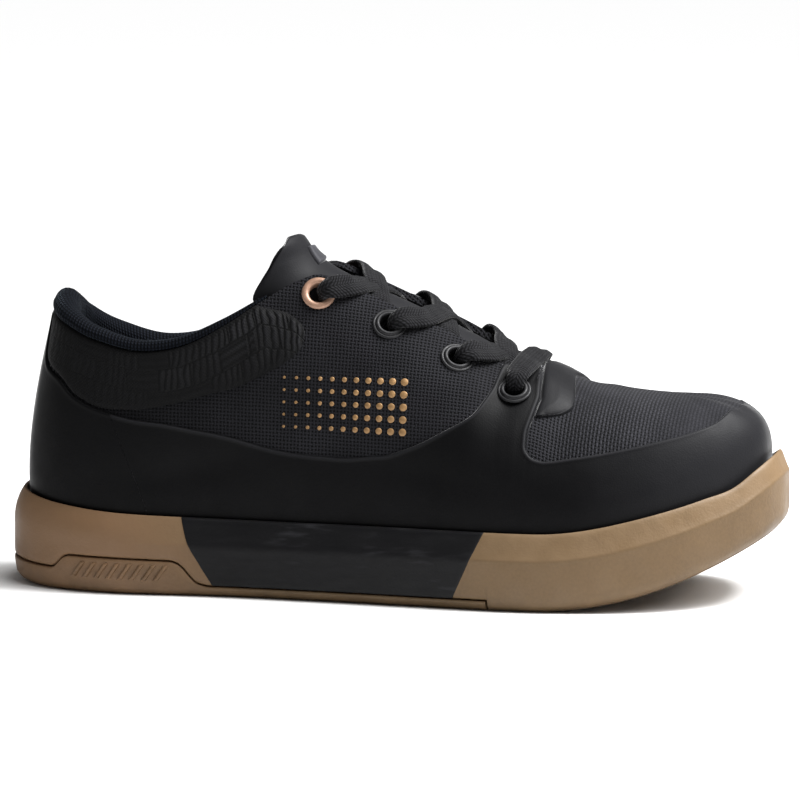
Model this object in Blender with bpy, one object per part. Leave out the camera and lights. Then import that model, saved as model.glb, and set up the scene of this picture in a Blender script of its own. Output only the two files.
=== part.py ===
"""Low-cut lace-up sneaker for the right foot: +X to the toe, +Z up, outer side at -Y, in millimetres."""

import math
from collections import namedtuple

import bmesh
import bpy
import numpy as np

MM = 0.001
LATERAL = -1
MEDIAL = 1
SIDES = (LATERAL, MEDIAL)
SIDE_NAMES = {LATERAL: "lateral", MEDIAL: "medial"}

# Driving sizes
HALF_LENGTH = 140.0
CENTRE_SHIFT = 2.17
END_ROUNDING = 0.75
TOE_SPRING = 27.0
SPRING_START = 55.0
GAP = 0.3

# Sole layers, heights above the sole's lowest line
OUTSOLE_THICK = 3.8
SPLIT = OUTSOLE_THICK + GAP
GROOVE_END = 40.0
FLANGE = 3.0
REBATE = FLANGE + GAP
FRONT_LOW = 0.5
PANEL_THICK = 0.9
GROOVE_DEPTH = 1.6
GROOVE_WIDTH = 3.2
TREAD_MARGIN = 11.0

# Upper and what lies on it, as insets from the sole's widest outline
CUP_INSET = 4.45
UPPER_INSET = 6.4
TUCK = 1.5
WALL_THICK = 2.4
OVERLAY_LOW = 0.46
OVERLAY_HIGH = 1.5
LINING_GAP = 0.6
INSOLE_THICK = 4.0
THROAT_END = 0.6225
THROAT_ROUND = 0.598
ARM_END = 0.6212
TAB_START = 0.6236
TAB_END = 0.650
TAB_EDGE = 0.58
SEAM_GAP = 0.0011
SEAM_FADES = (0.14, 0.36)

# Plan of the sole: half widths before the ends are rounded off
Plan = namedtuple("Plan", "x lateral medial")
PLAN = [
    Plan(-140, 54.5, 54.5),
    Plan(-105, 50.4, 50.4),
    Plan(-60, 41.5, 37.0),
    Plan(-20, 43.3, 36.3),
    Plan(20, 49.4, 41.5),
    Plan(50, 55.8, 50.2),
    Plan(80, 58.6, 55.8),
    Plan(105, 58.6, 61.0),
    Plan(125, 55.5, 63.5),
    Plan(140, 52.0, 63.0),
]

# Heights along the sole: lift of the heel's back edge, wall height and footbed above the lowest line
Level = namedtuple("Level", "x lift wall footbed")
LEVELS = [
    Level(-140, 1.2, 33.0, 15.5),
    Level(-128, 0.2, 31.6, 15.5),
    Level(-110, 0.0, 29.8, 15.0),
    Level(-70, 0.0, 28.2, 14.0),
    Level(0, 0.0, 28.0, 12.5),
    Level(60, 0.0, 28.0, 11.5),
    Level(100, 0.0, 27.8, 11.5),
    Level(117, 0.0, 26.2, 11.0),
    Level(128, 0.0, 24.8, 11.0),
    Level(135, 0.0, 26.4, 11.5),
    Level(140, 0.0, 28.5, 12.0),
]

# Side wall of the sole: inset at each share of its height
Wall = namedtuple("Wall", "share inset")
WALL = [
    Wall(0.00, 4.0),
    Wall(0.03, 2.0),
    Wall(0.08, 0.7),
    Wall(0.15, 0.0),
    Wall(0.66, 0.0),
    Wall(0.70, 0.3),
    Wall(0.96, 2.6),
    Wall(1.00, 3.2),
]

# Rise of the outsole's side round the heel, with a raised tab on the outer side
Tab = namedtuple("Tab", "x lateral medial")
HEEL_TAB = [
    Tab(-140.0, 4.3, 4.3),
    Tab(-121.5, 4.4, 4.4),
    Tab(-116.0, 9.2, 4.4),
    Tab(-74.6, 8.6, 4.4),
    Tab(-65.0, 0.0, 0.0),
]

# Ends of the black panel in the side wall, at the groove and at the lip
PANEL_BACK = (-61.9, -73.6)
PANEL_FRONT = (27.3, 37.9)

# Ribs of the upper from heel (0) to toe (1): where each ends above, the handles of its curve, and how much
# lower the inner side ends
Rib = namedtuple("Rib", "turn x half z drop rise belly reach low")
RIBS = [
    Rib(0.000, -125.2, 0.0, 98.5, 75, 0.31, 1.5, 0.31, 0.0),
    Rib(0.080, -123.8, 9.8, 97.6, 76, 0.31, 1.5, 0.31, 1.0),
    Rib(0.160, -118.0, 18.8, 94.4, 78, 0.31, 1.5, 0.31, 2.4),
    Rib(0.230, -106.0, 24.8, 89.8, 80, 0.32, 1.5, 0.30, 4.2),
    Rib(0.290, -89.0, 28.0, 86.8, 80, 0.33, 1.5, 0.30, 5.2),
    Rib(0.340, -73.0, 28.8, 89.8, 78, 0.35, 1.2, 0.29, 5.0),
    Rib(0.380, -59.5, 27.8, 96.8, 74, 0.38, 1.0, 0.28, 3.8),
    Rib(0.420, -46.0, 24.5, 105.8, 66, 0.41, 0.8, 0.27, 1.8),
    Rib(0.455, -34.0, 20.0, 112.6, 56, 0.43, 0.6, 0.26, 0.4),
    Rib(0.480, -25.5, 16.4, 114.6, 48, 0.45, 0.5, 0.27, 0.0),
    Rib(0.505, -12.0, 15.6, 109.3, 43, 0.46, 0.5, 0.29, 0.0),
    Rib(0.530, 2.0, 15.5, 103.2, 40, 0.47, 0.6, 0.31, 0.0),
    Rib(0.570, 26.0, 15.0, 92.2, 36, 0.49, 0.8, 0.35, 0.0),
    Rib(0.600, 43.0, 13.6, 82.6, 32, 0.50, 1.0, 0.38, 0.0),
    Rib(0.6225, 52.6, 12.6, 82.0, 27, 0.51, 1.0, 0.40, 0.0),
    Rib(0.645, 61.0, 0.0, 78.3, 0, 0.52, 1.0, 0.41, 0.0),
    Rib(0.670, 69.5, 0.0, 75.6, 0, 0.53, 1.0, 0.42, 0.0),
    Rib(0.700, 78.0, 0.0, 74.2, 0, 0.55, 1.0, 0.43, 0.0),
    Rib(0.740, 86.5, 0.0, 73.1, 0, 0.58, 1.0, 0.45, 0.0),
    Rib(0.790, 93.5, 0.0, 72.5, 0, 0.63, 0.9, 0.48, 0.0),
    Rib(0.860, 99.0, 0.0, 72.3, 0, 0.70, 0.8, 0.53, 0.0),
    Rib(0.930, 102.0, 0.0, 72.3, 0, 0.76, 0.6, 0.58, 0.0),
    Rib(1.000, 103.5, 0.0, 72.2, 0, 0.79, 0.5, 0.60, 0.0),
]

# Edges of the overlays as seen from the side
Spot = namedtuple("Spot", "x z")
MUDGUARD_EDGE = [
    Spot(-99.6, 64.3),
    Spot(-85, 62),
    Spot(-66, 59),
    Spot(-36, 53),
    Spot(-21, 52),
    Spot(-12, 52),
    Spot(-0.6, 53.3),
    Spot(9, 56.4),
    Spot(16, 59.7),
    Spot(27, 65.8),
    Spot(32, 69),
    Spot(35, 72.5),
    Spot(38, 77.5),
]
ARM_TOP = 0.5945
WINDOW_EDGE = [
    Spot(55, 55),
    Spot(62, 53.6),
    Spot(81, 57),
    Spot(93, 59.4),
    Spot(106, 62.4),
    Spot(114.5, 65.0),
]
WINDOW_TIP = 0.70
SEAM_EDGE = [Spot(-87.0, 31.0), Spot(-91.0, 41.0), Spot(-100.8, 64.3)]
PANEL_EDGE = [
    Spot(-97, 66),
    Spot(-66, 72),
    Spot(-55, 75),
    Spot(-41, 82),
    Spot(-33, 88),
    Spot(-30, 95),
]
PANEL_TOP = [Spot(-48.5, 104), Spot(-45.6, 104), Spot(-37, 102.3), Spot(-32.5, 99.5), Spot(-30, 95)]

# Top of the heel counter round the back of the heel
Back = namedtuple("Back", "turn z")
COUNTER_EDGE = [
    Back(0.000, 96.5),
    Back(0.034, 96.2),
    Back(0.050, 91.0),
    Back(0.066, 82.0),
    Back(0.100, 79.5),
    Back(0.150, 78.0),
    Back(0.190, 70.0),
    Back(0.250, 64.3),
    Back(0.300, 62.4),
]

# Eyelets, from the top one down, and how high the lace lies over each
Eyelet = namedtuple("Eyelet", "x z lace")
EYELETS = [
    Eyelet(-26.0, 109.2, 6.6),
    Eyelet(0.0, 99.2, 5.0),
    Eyelet(25.0, 88.0, 5.0),
    Eyelet(45.5, 75.8, 6.5),
]
EYELET_HOLE = 3.3
EYELET_BARREL = 4.0
EYELET_RING = 5.8
EYELET_CUT = 4.4
EYELET_SIDES = 8

# Padded collar: how far it stands above the edge, bulges inside and reaches down
Pad = namedtuple("Pad", "turn top bulge")
COLLAR_PAD = [
    Pad(0.00, 7.0, 6.0),
    Pad(0.16, 5.4, 6.0),
    Pad(0.29, 3.8, 5.5),
    Pad(0.38, 2.4, 4.2),
    Pad(0.425, 0.9, 1.2),
]
COLLAR_END = 0.425
Crown = namedtuple("Crown", "share height")
COLLAR_CROWN = [
    Crown(-0.10, 0.0),
    Crown(-0.16, 0.35),
    Crown(-0.02, 0.75),
    Crown(0.25, 1.0),
    Crown(0.6, 0.95),
    Crown(0.88, 0.55),
]

# Tongue: middle of its outer face from the vamp to the top, and how far its edges lie out, back and down
Tongue = namedtuple("Tongue", "place x z half back down thick")
TONGUE = [
    Tongue(0.00, 66.0, 71.3, 18.0, 1.0, 6.5, 3.0),
    Tongue(0.12, 51.0, 78.2, 19.5, 3.0, 8.5, 4.0),
    Tongue(0.35, 26.0, 92.0, 20.0, 4.5, 10.5, 5.0),
    Tongue(0.56, 2.0, 103.0, 20.0, 7.0, 11.5, 5.5),
    Tongue(0.70, -12.0, 109.0, 20.0, 13.0, 12.5, 6.0),
    Tongue(0.82, -24.0, 114.6, 18.4, 25.5, 11.0, 6.0),
    Tongue(0.92, -32.0, 120.6, 19.5, 13.0, 5.0, 5.0),
    Tongue(1.00, -37.0, 125.2, 19.5, 1.2, 0.8, 3.5),
]

# Lace
LACE_HALF_WIDTH = 3.6
LACE_HALF_THICK = 1.25
LACE_ARCH = 1.6

# Facets
STATIONS = 23
SKIN_ROWS = 7


def column(table, name):
    return np.array([getattr(row, name) for row in table], float)


def curve(table, name, at):
    """One column of a table as a smooth function of the table's first column."""
    keys = column(table, table[0]._fields[0])
    values = column(table, name)
    at = np.clip(np.asarray(at, float), keys[0], keys[-1])
    width = np.diff(keys)
    slope = np.diff(values) / width
    tangent = np.empty_like(values)
    tangent[0] = slope[0]
    tangent[-1] = slope[-1]
    tangent[1:-1] = (slope[:-1] * width[1:] + slope[1:] * width[:-1]) / (width[1:] + width[:-1])
    i = np.clip(np.searchsorted(keys, at, side="right") - 1, 0, len(keys) - 2)
    u = (at - keys[i]) / width[i]
    start = (1 + 2 * u) * (1 - u) ** 2 * values[i] + u * (1 - u) ** 2 * width[i] * tangent[i]
    end = u * u * (3 - 2 * u) * values[i + 1] - u * u * (1 - u) * width[i] * tangent[i + 1]
    return start + end


def straight(table, name, at):
    return np.interp(at, column(table, table[0]._fields[0]), column(table, name))


def turn_at(x):
    """Share of the half turn round the sole's outline, from heel to toe, at a place along it."""
    return np.arccos(np.clip(-np.asarray(x, float) / HALF_LENGTH, -1, 1)) / math.pi


def plan_x(turn):
    return -HALF_LENGTH * np.cos(math.pi * np.asarray(turn, float))


def folded(side, turn):
    """Past the heel or toe the outline goes on along the other side."""
    turn = np.asarray(turn, float)
    over = (turn < 0) | (turn > 1)
    turn = np.where(turn < 0, -turn, np.where(turn > 1, 2 - turn, turn))
    return np.where(over, -np.asarray(side), np.asarray(side)), turn


def plan_raw(side, turn):
    side, turn = folded(side, turn)
    x = plan_x(turn)
    full = np.where(side == LATERAL, curve(PLAN, "lateral", x), curve(PLAN, "medial", x))
    y = side * full * np.sin(math.pi * turn) ** END_ROUNDING
    return np.stack([x, y], axis=-1)


def plan(side, turn, inset):
    """Point of the sole's outline moved inwards along its normal, and that outward normal."""
    side, turn = np.broadcast_arrays(np.asarray(side), np.asarray(turn, float))
    step = 2e-3
    along = plan_raw(side, turn + step) - plan_raw(side, turn - step)
    normal = np.stack([-along[..., 1], along[..., 0]], axis=-1) * side[..., None]
    normal = normal / np.linalg.norm(normal, axis=-1, keepdims=True)
    return plan_raw(side, turn) - np.asarray(inset, float)[..., None] * normal, normal


def base(x):
    """Height of the sole's lowest line: flat from the heel to the ball, then the toe spring."""
    spring = np.clip((x - SPRING_START) / (HALF_LENGTH - SPRING_START), 0, 1)
    return np.maximum(curve(LEVELS, "lift", x), 0) + TOE_SPRING * spring**2


def wall_height(x):
    return curve(LEVELS, "wall", x)


def lip(x):
    return base(x) + wall_height(x)


def footbed(x):
    return base(x) + curve(LEVELS, "footbed", x)


def wall_inset(turn, height):
    return straight(WALL, "inset", np.asarray(height, float) / wall_height(plan_x(turn)))


def placed(flat, z):
    return np.concatenate([flat, np.broadcast_to(z, flat.shape[:-1])[..., None]], axis=-1)


def top_line(side, turn):
    """Upper end of each rib: collar, throat edge or ridge of the vamp."""
    rounding = np.clip((turn - THROAT_ROUND) / (THROAT_END - THROAT_ROUND), 0, 1)
    fade = np.sqrt(1 - rounding**2)
    half = curve(RIBS, "half", turn) * fade
    z = curve(RIBS, "z", turn) - np.where(side == MEDIAL, curve(RIBS, "low", turn), 0.0)
    top = np.stack([curve(RIBS, "x", turn), side * half, z], axis=-1)
    return top, np.radians(curve(RIBS, "drop", turn) * fade)


def ridge_slope(turn):
    step = 1e-3
    climb = curve(RIBS, "z", turn + step) - curve(RIBS, "z", turn - step)
    return climb / (curve(RIBS, "x", turn + step) - curve(RIBS, "x", turn - step))


def skin_raw(side, turn, v):
    """Outer face of the upper: v from -1 at the footbed and 0 at the sole's lip to 1 at the top line."""
    side, turn, v = np.broadcast_arrays(np.asarray(side), np.asarray(turn, float), np.asarray(v, float))
    side, turn = folded(side, turn)
    flat, normal = plan(side, turn, np.full(turn.shape, UPPER_INSET))
    foot = placed(flat, lip(flat[..., 0]))
    inner = flat - TUCK * normal
    hem = placed(inner, footbed(inner[..., 0] + 2 * OVERLAY_HIGH * normal[..., 0]) + GAP)
    top, drop = top_line(side, turn)
    chord = np.linalg.norm(foot - top, axis=-1)
    lean = (foot - top)[..., :2]
    lean = lean / np.linalg.norm(lean, axis=-1, keepdims=True)
    ridge = np.where(turn > THROAT_END, ridge_slope(turn), 0)
    rise = curve(RIBS, "rise", turn) * (top[..., 2] - foot[..., 2])
    first = foot + placed(curve(RIBS, "belly", turn)[..., None] * normal, rise)
    down = lean[..., 0] * ridge * np.cos(drop) - np.sin(drop)
    reach = curve(RIBS, "reach", turn) * chord
    second = top + reach[..., None] * placed(lean * np.cos(drop)[..., None], down)
    u = np.clip(v, 0, 1)[..., None]
    arch = foot * (1 - u) ** 3 + 3 * first * u * (1 - u) ** 2 + 3 * second * u * u * (1 - u) + top * u**3
    below = np.clip(-v, 0, 1)[..., None]
    return np.where(v[..., None] < 0, foot + (hem - foot) * below, arch)


def skin_normal(side, turn, v):
    side, turn, v = np.broadcast_arrays(np.asarray(side), np.asarray(turn, float), np.asarray(v, float))
    step = 2e-3
    low = np.clip(v, 0.0, 1 - step)
    along = skin_raw(side, turn + step, low) - skin_raw(side, turn - step, low)
    up = skin_raw(side, turn, low + step) - skin_raw(side, turn, low)
    normal = np.cross(up, along) * side[..., None]
    on_ridge = (v > 1 - 1e-9) & (turn > THROAT_END - 1e-9)
    level = np.zeros(turn.shape)
    over_ridge = np.stack([-ridge_slope(turn), level, level + 1], axis=-1)
    normal = np.where(on_ridge[..., None], over_ridge, normal)
    return normal / np.linalg.norm(normal, axis=-1, keepdims=True)


def skin(side, turn, v, lift):
    """Face of the upper moved outwards by lift; inside the cup it moves level."""
    side, turn, v = np.broadcast_arrays(np.asarray(side), np.asarray(turn, float), np.asarray(v, float))
    lift = np.broadcast_to(np.asarray(lift, float), v.shape)[..., None]
    level = plan(side, turn, np.zeros(turn.shape))[1]
    level = placed(level, np.zeros(turn.shape))
    share = np.clip(v * 12, 0, 1)[..., None]
    normal = level + (skin_normal(side, turn, v) - level) * share
    normal = normal / np.linalg.norm(normal, axis=-1, keepdims=True)
    return skin_raw(side, turn, v) + lift * normal


GRID_TURN = np.linspace(0, 1, 401)
GRID_V = np.linspace(0, 1, 121)
GRID = skin(LATERAL, GRID_TURN[:, None], GRID_V[None, :], OVERLAY_HIGH)


def spots_on_skin(spots):
    """Turn and v of places given as seen from the outer side."""
    found = []
    for spot in spots:
        off = (GRID[..., 0] - spot.x) ** 2 + (GRID[..., 2] - spot.z) ** 2
        i, j = np.unravel_index(np.argmin(off), off.shape)
        turn, v = GRID_TURN[i], GRID_V[j]
        for _ in range(6):
            here = skin(LATERAL, turn, v, OVERLAY_HIGH)
            step = 1e-3
            by_turn = (skin(LATERAL, turn + step, v, OVERLAY_HIGH) - here) / step
            by_v = (here - skin(LATERAL, turn, v - step, OVERLAY_HIGH)) / step
            matrix = np.array([[by_turn[0], by_v[0]], [by_turn[2], by_v[2]]])
            miss = np.array([spot.x - here[0], spot.z - here[2]])
            change = np.linalg.solve(matrix, miss)
            turn = turn + np.clip(change[0], -0.01, 0.01)
            v = np.clip(v + np.clip(change[1], -0.05, 0.05), 0.02, 1.0)
        found.append((float(turn), float(v)))
    return np.array(found)


def v_at_height(turn, z):
    """v of a given height on one rib."""
    turn, z = np.broadcast_arrays(np.asarray(turn, float), np.asarray(z, float))
    heights = skin_raw(LATERAL, turn[..., None], GRID_V)[..., 2]
    heights = heights.reshape(-1, len(GRID_V))
    found = [np.interp(want, row, GRID_V) for want, row in zip(z.ravel(), heights)]
    return np.array(found).reshape(turn.shape)


# Edges of the overlays on the skin
ARM_SPOTS = spots_on_skin(MUDGUARD_EDGE)
WINDOW_SPOTS = spots_on_skin(WINDOW_EDGE)
ARM_FOOT = ARM_END + 0.001
MUD_TURNS = np.concatenate([ARM_SPOTS[:, 0], [ARM_TOP, ARM_END, ARM_FOOT], WINDOW_SPOTS[:, 0], [1.0]])
ARM_END_V = [1.0, 1.0, WINDOW_SPOTS[0, 1]]
MUD_V = np.concatenate([ARM_SPOTS[:, 1], ARM_END_V, WINDOW_SPOTS[:, 1], [WINDOW_TIP]])
ARM_TURNS = np.interp(np.linspace(0.5, 1, 5), MUD_V[5:14], MUD_TURNS[5:14])
TAB_TURNS = TAB_START + (TAB_END - TAB_START) * np.array([0.0, 0.45, 0.75, 0.93])
SEAM_SPOTS = spots_on_skin(SEAM_EDGE)
SEAM_TURN = SEAM_SPOTS[-1, 0]
PANEL_SPOTS = spots_on_skin(PANEL_EDGE)
PANEL_TOP_SPOTS = spots_on_skin(PANEL_TOP)


def mudguard_top(turn):
    return np.interp(turn, MUD_TURNS, MUD_V)


def counter_top(turn):
    return v_at_height(turn, straight(COUNTER_EDGE, "z", turn))


def slanted(turns, v):
    """Turns of whole columns of the skin: near the counter's seam they lean with it."""
    turns, v = np.broadcast_arrays(turns[:, None], v)
    lean = np.interp(v, SEAM_SPOTS[:, 1], SEAM_SPOTS[:, 0]) - SEAM_TURN
    fade = np.interp(turns, [SEAM_FADES[0], SEAM_TURN, SEAM_FADES[1]], [0.0, 1.0, 0.0])
    return turns + lean * fade


# Building blocks
def material(name, colour, roughness):
    made = bpy.data.materials.new(name)
    made.use_nodes = True
    shader = made.node_tree.nodes["Principled BSDF"]
    shader.inputs["Base Color"].default_value = (*colour, 1.0)
    shader.inputs["Roughness"].default_value = roughness
    return made


def solid(name, points, faces, colour=(0.02, 0.02, 0.022), roughness=0.7, helper=False):
    """A closed mesh from points in millimetres, with equal points joined and its faces outwards."""
    points = np.asarray(points, float).reshape(-1, 3) + np.array([0.0, CENTRE_SHIFT, 0.0])
    mesh = bpy.data.meshes.new(name)
    mesh.from_pydata((points * MM).tolist(), [], faces)
    net = bmesh.new()
    net.from_mesh(mesh)
    bmesh.ops.remove_doubles(net, verts=net.verts, dist=2e-6)
    bmesh.ops.dissolve_degenerate(net, edges=net.edges, dist=1e-6)
    bmesh.ops.recalc_face_normals(net, faces=net.faces)
    if net.calc_volume(signed=True) < 0:
        bmesh.ops.reverse_faces(net, faces=net.faces)
    net.to_mesh(mesh)
    net.free()
    made = bpy.data.objects.new(name, mesh)
    bpy.context.scene.collection.objects.link(made)
    if helper:
        made.hide_render = True
        made.display_type = "WIRE"
    else:
        mesh.materials.append(material(name, colour, roughness))
    return made


def cut(target, cutter, operation="DIFFERENCE"):
    step = target.modifiers.new(cutter.name, "BOOLEAN")
    step.operation = operation
    step.solver = "EXACT"
    step.object = cutter


def slab(outer, inner, cells=None, seam=None):
    """Closed layer between two grids: cells says which to keep, seam which edges stay open."""
    rows, columns = outer.shape[:2]
    count = rows * columns
    if cells is None:
        cells = np.ones((rows - 1, columns - 1), bool)
    faces = []
    uses = {}
    for i, j in zip(*np.nonzero(cells)):
        corners = [(i, j), (i, j + 1), (i + 1, j + 1), (i + 1, j)]
        face = tuple(int(a * columns + b) for a, b in corners)
        faces.append(face)
        faces.append(tuple(k + count for k in face))
        for start, end in zip(corners, corners[1:] + corners[:1]):
            key = tuple(sorted((start, end)))
            uses[key] = uses.get(key, 0) + 1
    for (start, end), times in uses.items():
        if times == 1 and not (seam and seam(start) and seam(end)):
            a = int(start[0] * columns + start[1])
            b = int(end[0] * columns + end[1])
            faces.append((a, b, b + count, a + count))
    return np.concatenate([outer.reshape(-1, 3), inner.reshape(-1, 3)]), faces


def ring(sections):
    """Points and faces of a closed loop of sections, each a closed polygon."""
    count, corners = sections.shape[:2]
    faces = []
    for i in range(count):
        for j in range(corners):
            k = (i + 1) % count
            m = (j + 1) % corners
            faces.append((i * corners + j, i * corners + m, k * corners + m, k * corners + j))
    return sections.reshape(-1, 3), faces


def merged(pieces):
    points = []
    faces = []
    start = 0
    for piece_points, piece_faces in pieces:
        points.append(piece_points)
        faces += [tuple(i + start for i in face) for face in piece_faces]
        start += len(piece_points)
    return np.concatenate(points), faces


def stations(extra=()):
    """Columns shared by everything that is lofted along the shoe, with any that one piece adds."""
    return np.array(sorted(set(np.round(np.linspace(0, 1, STATIONS + 1), 6)) | set(np.round(extra, 6))))


def skin_stations(extra=()):
    throat = THROAT_ROUND + (THROAT_END - THROAT_ROUND) * np.array([0.33, 0.6, 0.8, 1.0])
    return stations([SEAM_TURN, COLLAR_END, *ARM_TURNS, *throat, ARM_END, *TAB_TURNS[1:], *extra])


# Sole
GROOVE_TURN = float(turn_at(GROOVE_END))
STEP_TURNS = [float(turn_at(row.x)) for row in HEEL_TAB[1:]]


def section_loft(turns, profile):
    """Solid from half sections: profile(side, turn) lists points from the bottom to the top."""
    halves = {side: np.array([profile(side, turn) for turn in turns]) for side in SIDES}
    loops = np.concatenate([halves[LATERAL], halves[MEDIAL][:, ::-1]], axis=1)
    count, corners = loops.shape[:2]
    faces = []
    for i in range(count - 1):
        for j in range(corners):
            m = (j + 1) % corners
            faces.append((i * corners + j, i * corners + m, (i + 1) * corners + m, (i + 1) * corners + j))
    return loops.reshape(-1, 3), faces


def sole_points(side, turn, insets, heights):
    """Points of one half section from their insets and heights above the lowest line."""
    turns = np.full(len(insets), turn)
    flat, _ = plan(side, turns, np.array(insets))
    return placed(flat, base(flat[:, 0]) + np.array(heights))


def tab_height(side, turn):
    return float(straight(HEEL_TAB, SIDE_NAMES[side], plan_x(turn)))


def outsole_profile(side, turn):
    front = turn > GROOVE_TURN - 1e-3
    edge = REBATE + GAP if front else 0.0
    top = OUTSOLE_THICK if front else OUTSOLE_THICK + tab_height(side, turn)
    heights = [0.0, 0.9, 2.4, OUTSOLE_THICK, top, top, OUTSOLE_THICK]
    insets = [max(edge, float(wall_inset(turn, height))) for height in heights[:5]]
    insets[0] = max(insets[0], edge + 0.8)
    insets += [edge + FLANGE, edge + FLANGE]
    return sole_points(side, turn, insets, heights)


def midsole_profile(side, turn):
    low = FRONT_LOW if turn > GROOVE_TURN + 1e-4 else SPLIT + tab_height(side, turn)
    height = float(wall_height(plan_x(turn)))
    bed = float(curve(LEVELS, "footbed", plan_x(turn)))
    rows = [low, max(low + 0.9, 2.4), max(low + 2.0, 4.6)]
    rows += [share * height for share in (0.66, 0.71, 0.96, 1.0)]
    insets = [REBATE, REBATE] + [float(wall_inset(turn, row)) for row in rows]
    insets += [CUP_INSET, CUP_INSET + TUCK]
    heights = [SPLIT, low] + rows + [height, bed]
    return sole_points(side, turn, insets, heights)


def build_sole():
    turns = stations(STEP_TURNS + [GROOVE_TURN - 0.0014, GROOVE_TURN - 0.0008])
    outsole = solid("outsole", *section_loft(turns, outsole_profile), (0.33, 0.17, 0.075), 0.55)
    groove_boxes = []
    for x in [*np.arange(-104, -44, 12.0), *np.arange(28, 101, 12.0)]:
        turn = float(turn_at(x))
        reach = [plan_raw(side, turn)[1] - side * TREAD_MARGIN for side in SIDES]
        low = float(base(x))
        slope = float(base(x + 0.5) - base(x - 0.5))
        box = np.zeros((2, 2, 2, 3))
        box[0, ..., 0] = x - GROOVE_WIDTH / 2
        box[1, ..., 0] = x + GROOVE_WIDTH / 2
        box[:, 0, :, 1] = reach[0]
        box[:, 1, :, 1] = reach[1]
        box[..., 0, 2] = low - 3.0
        box[..., 1, 2] = low + GROOVE_DEPTH
        box[..., 2] += slope * (box[..., 0] - x)
        faces = [(0, 1, 3, 2), (4, 6, 7, 5), (0, 4, 5, 1), (2, 3, 7, 6), (0, 2, 6, 4), (1, 5, 7, 3)]
        groove_boxes.append((box.reshape(-1, 3), faces))
    cut(outsole, solid("tread_cutter", *merged(groove_boxes), helper=True))

    turns = stations(STEP_TURNS + [GROOVE_TURN, GROOVE_TURN + 0.0006])
    midsole = solid("midsole", *section_loft(turns, midsole_profile), (0.36, 0.19, 0.085), 0.5)
    for side in SIDES:
        name = f"side_panel_{SIDE_NAMES[side]}"
        solid(name, *slab(*wall_patch(side, 0.0, 0.0, PANEL_THICK)), (0.015, 0.015, 0.016), 0.5)
        cutter = solid(f"{name}_cutter", *slab(*wall_patch(side, GAP, -2.0, PANEL_THICK + GAP)), helper=True)
        cut(midsole, cutter)

    inset = UPPER_INSET + TUCK + WALL_THICK + 0.5

    def insole_profile(side, turn):
        bed = float(curve(LEVELS, "footbed", plan_x(turn)))
        return sole_points(side, turn, [inset, inset - 0.1], [bed + GAP, bed + GAP + INSOLE_THICK])

    solid("insole", *section_loft(stations(), insole_profile), (0.05, 0.05, 0.055), 0.9)


def wall_patch(side, grow, outer, inner):
    """Outer and inner grid of the black panel, grown by a gap for the recess that holds it."""
    shares = np.array([0.0, 0.62, 0.71, 0.96, 1.0] + ([1.12] if outer < 0 else []))
    low = SPLIT + 0.25 - grow
    bottom_x = (PANEL_BACK[0] - grow, PANEL_FRONT[0] + grow)
    top_x = (PANEL_BACK[1] - grow, PANEL_FRONT[1] + grow)
    inside = [turn for turn in stations() if PANEL_BACK[0] + 3 < plan_x(turn) < PANEL_FRONT[0] - 3]
    starts = turn_at(bottom_x[0] + (top_x[0] - bottom_x[0]) * shares)
    ends = turn_at(bottom_x[1] + (top_x[1] - bottom_x[1]) * shares)
    turns = np.stack([starts] + [np.full(len(shares), turn) for turn in inside] + [ends])
    rows = low + (wall_height(plan_x(turns)) - low) * shares
    grids = []
    for depth in (outer, inner):
        flat, _ = plan(side, turns, wall_inset(turns, rows) + depth)
        grids.append(placed(flat, base(flat[..., 0]) + rows))
    return grids


# Upper
SKIN_V = np.linspace(0, 1, SKIN_ROWS + 1)


def build_upper():
    turns = skin_stations()
    rows = np.concatenate([[-1.0], SKIN_V])
    top_row = len(rows) - 1
    turn_grid = slanted(turns, rows[None, :])

    def seam(spot):
        on_ridge = spot[1] == top_row and turns[spot[0]] > THROAT_END - 1e-5
        return spot[0] in (0, len(turns) - 1) or on_ridge

    pieces = []
    for side in SIDES:
        outer = skin(side, turn_grid, rows[None, :], 0.0)
        inner = skin(side, turn_grid, rows[None, :], -WALL_THICK)
        pieces.append(slab(outer, inner, seam=seam))
    upper = solid("upper", *merged(pieces), (0.02, 0.021, 0.024), 0.85)
    upper_holes(upper, range(len(EYELETS)))


def overlay_grids(turns, low, high):
    """Both faces of an overlay on each side; rows past its edges fall together on them."""
    rows = np.concatenate([[-1.0], SKIN_V])
    v_grid = np.minimum(np.maximum(rows[None, :], low[:, None]), high[:, None])
    turn_grid = slanted(turns, v_grid)
    outers = [skin(side, turn_grid, v_grid, OVERLAY_HIGH) for side in SIDES]
    inners = [skin(side, turn_grid, v_grid, OVERLAY_LOW) for side in SIDES]
    return outers, inners


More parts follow.
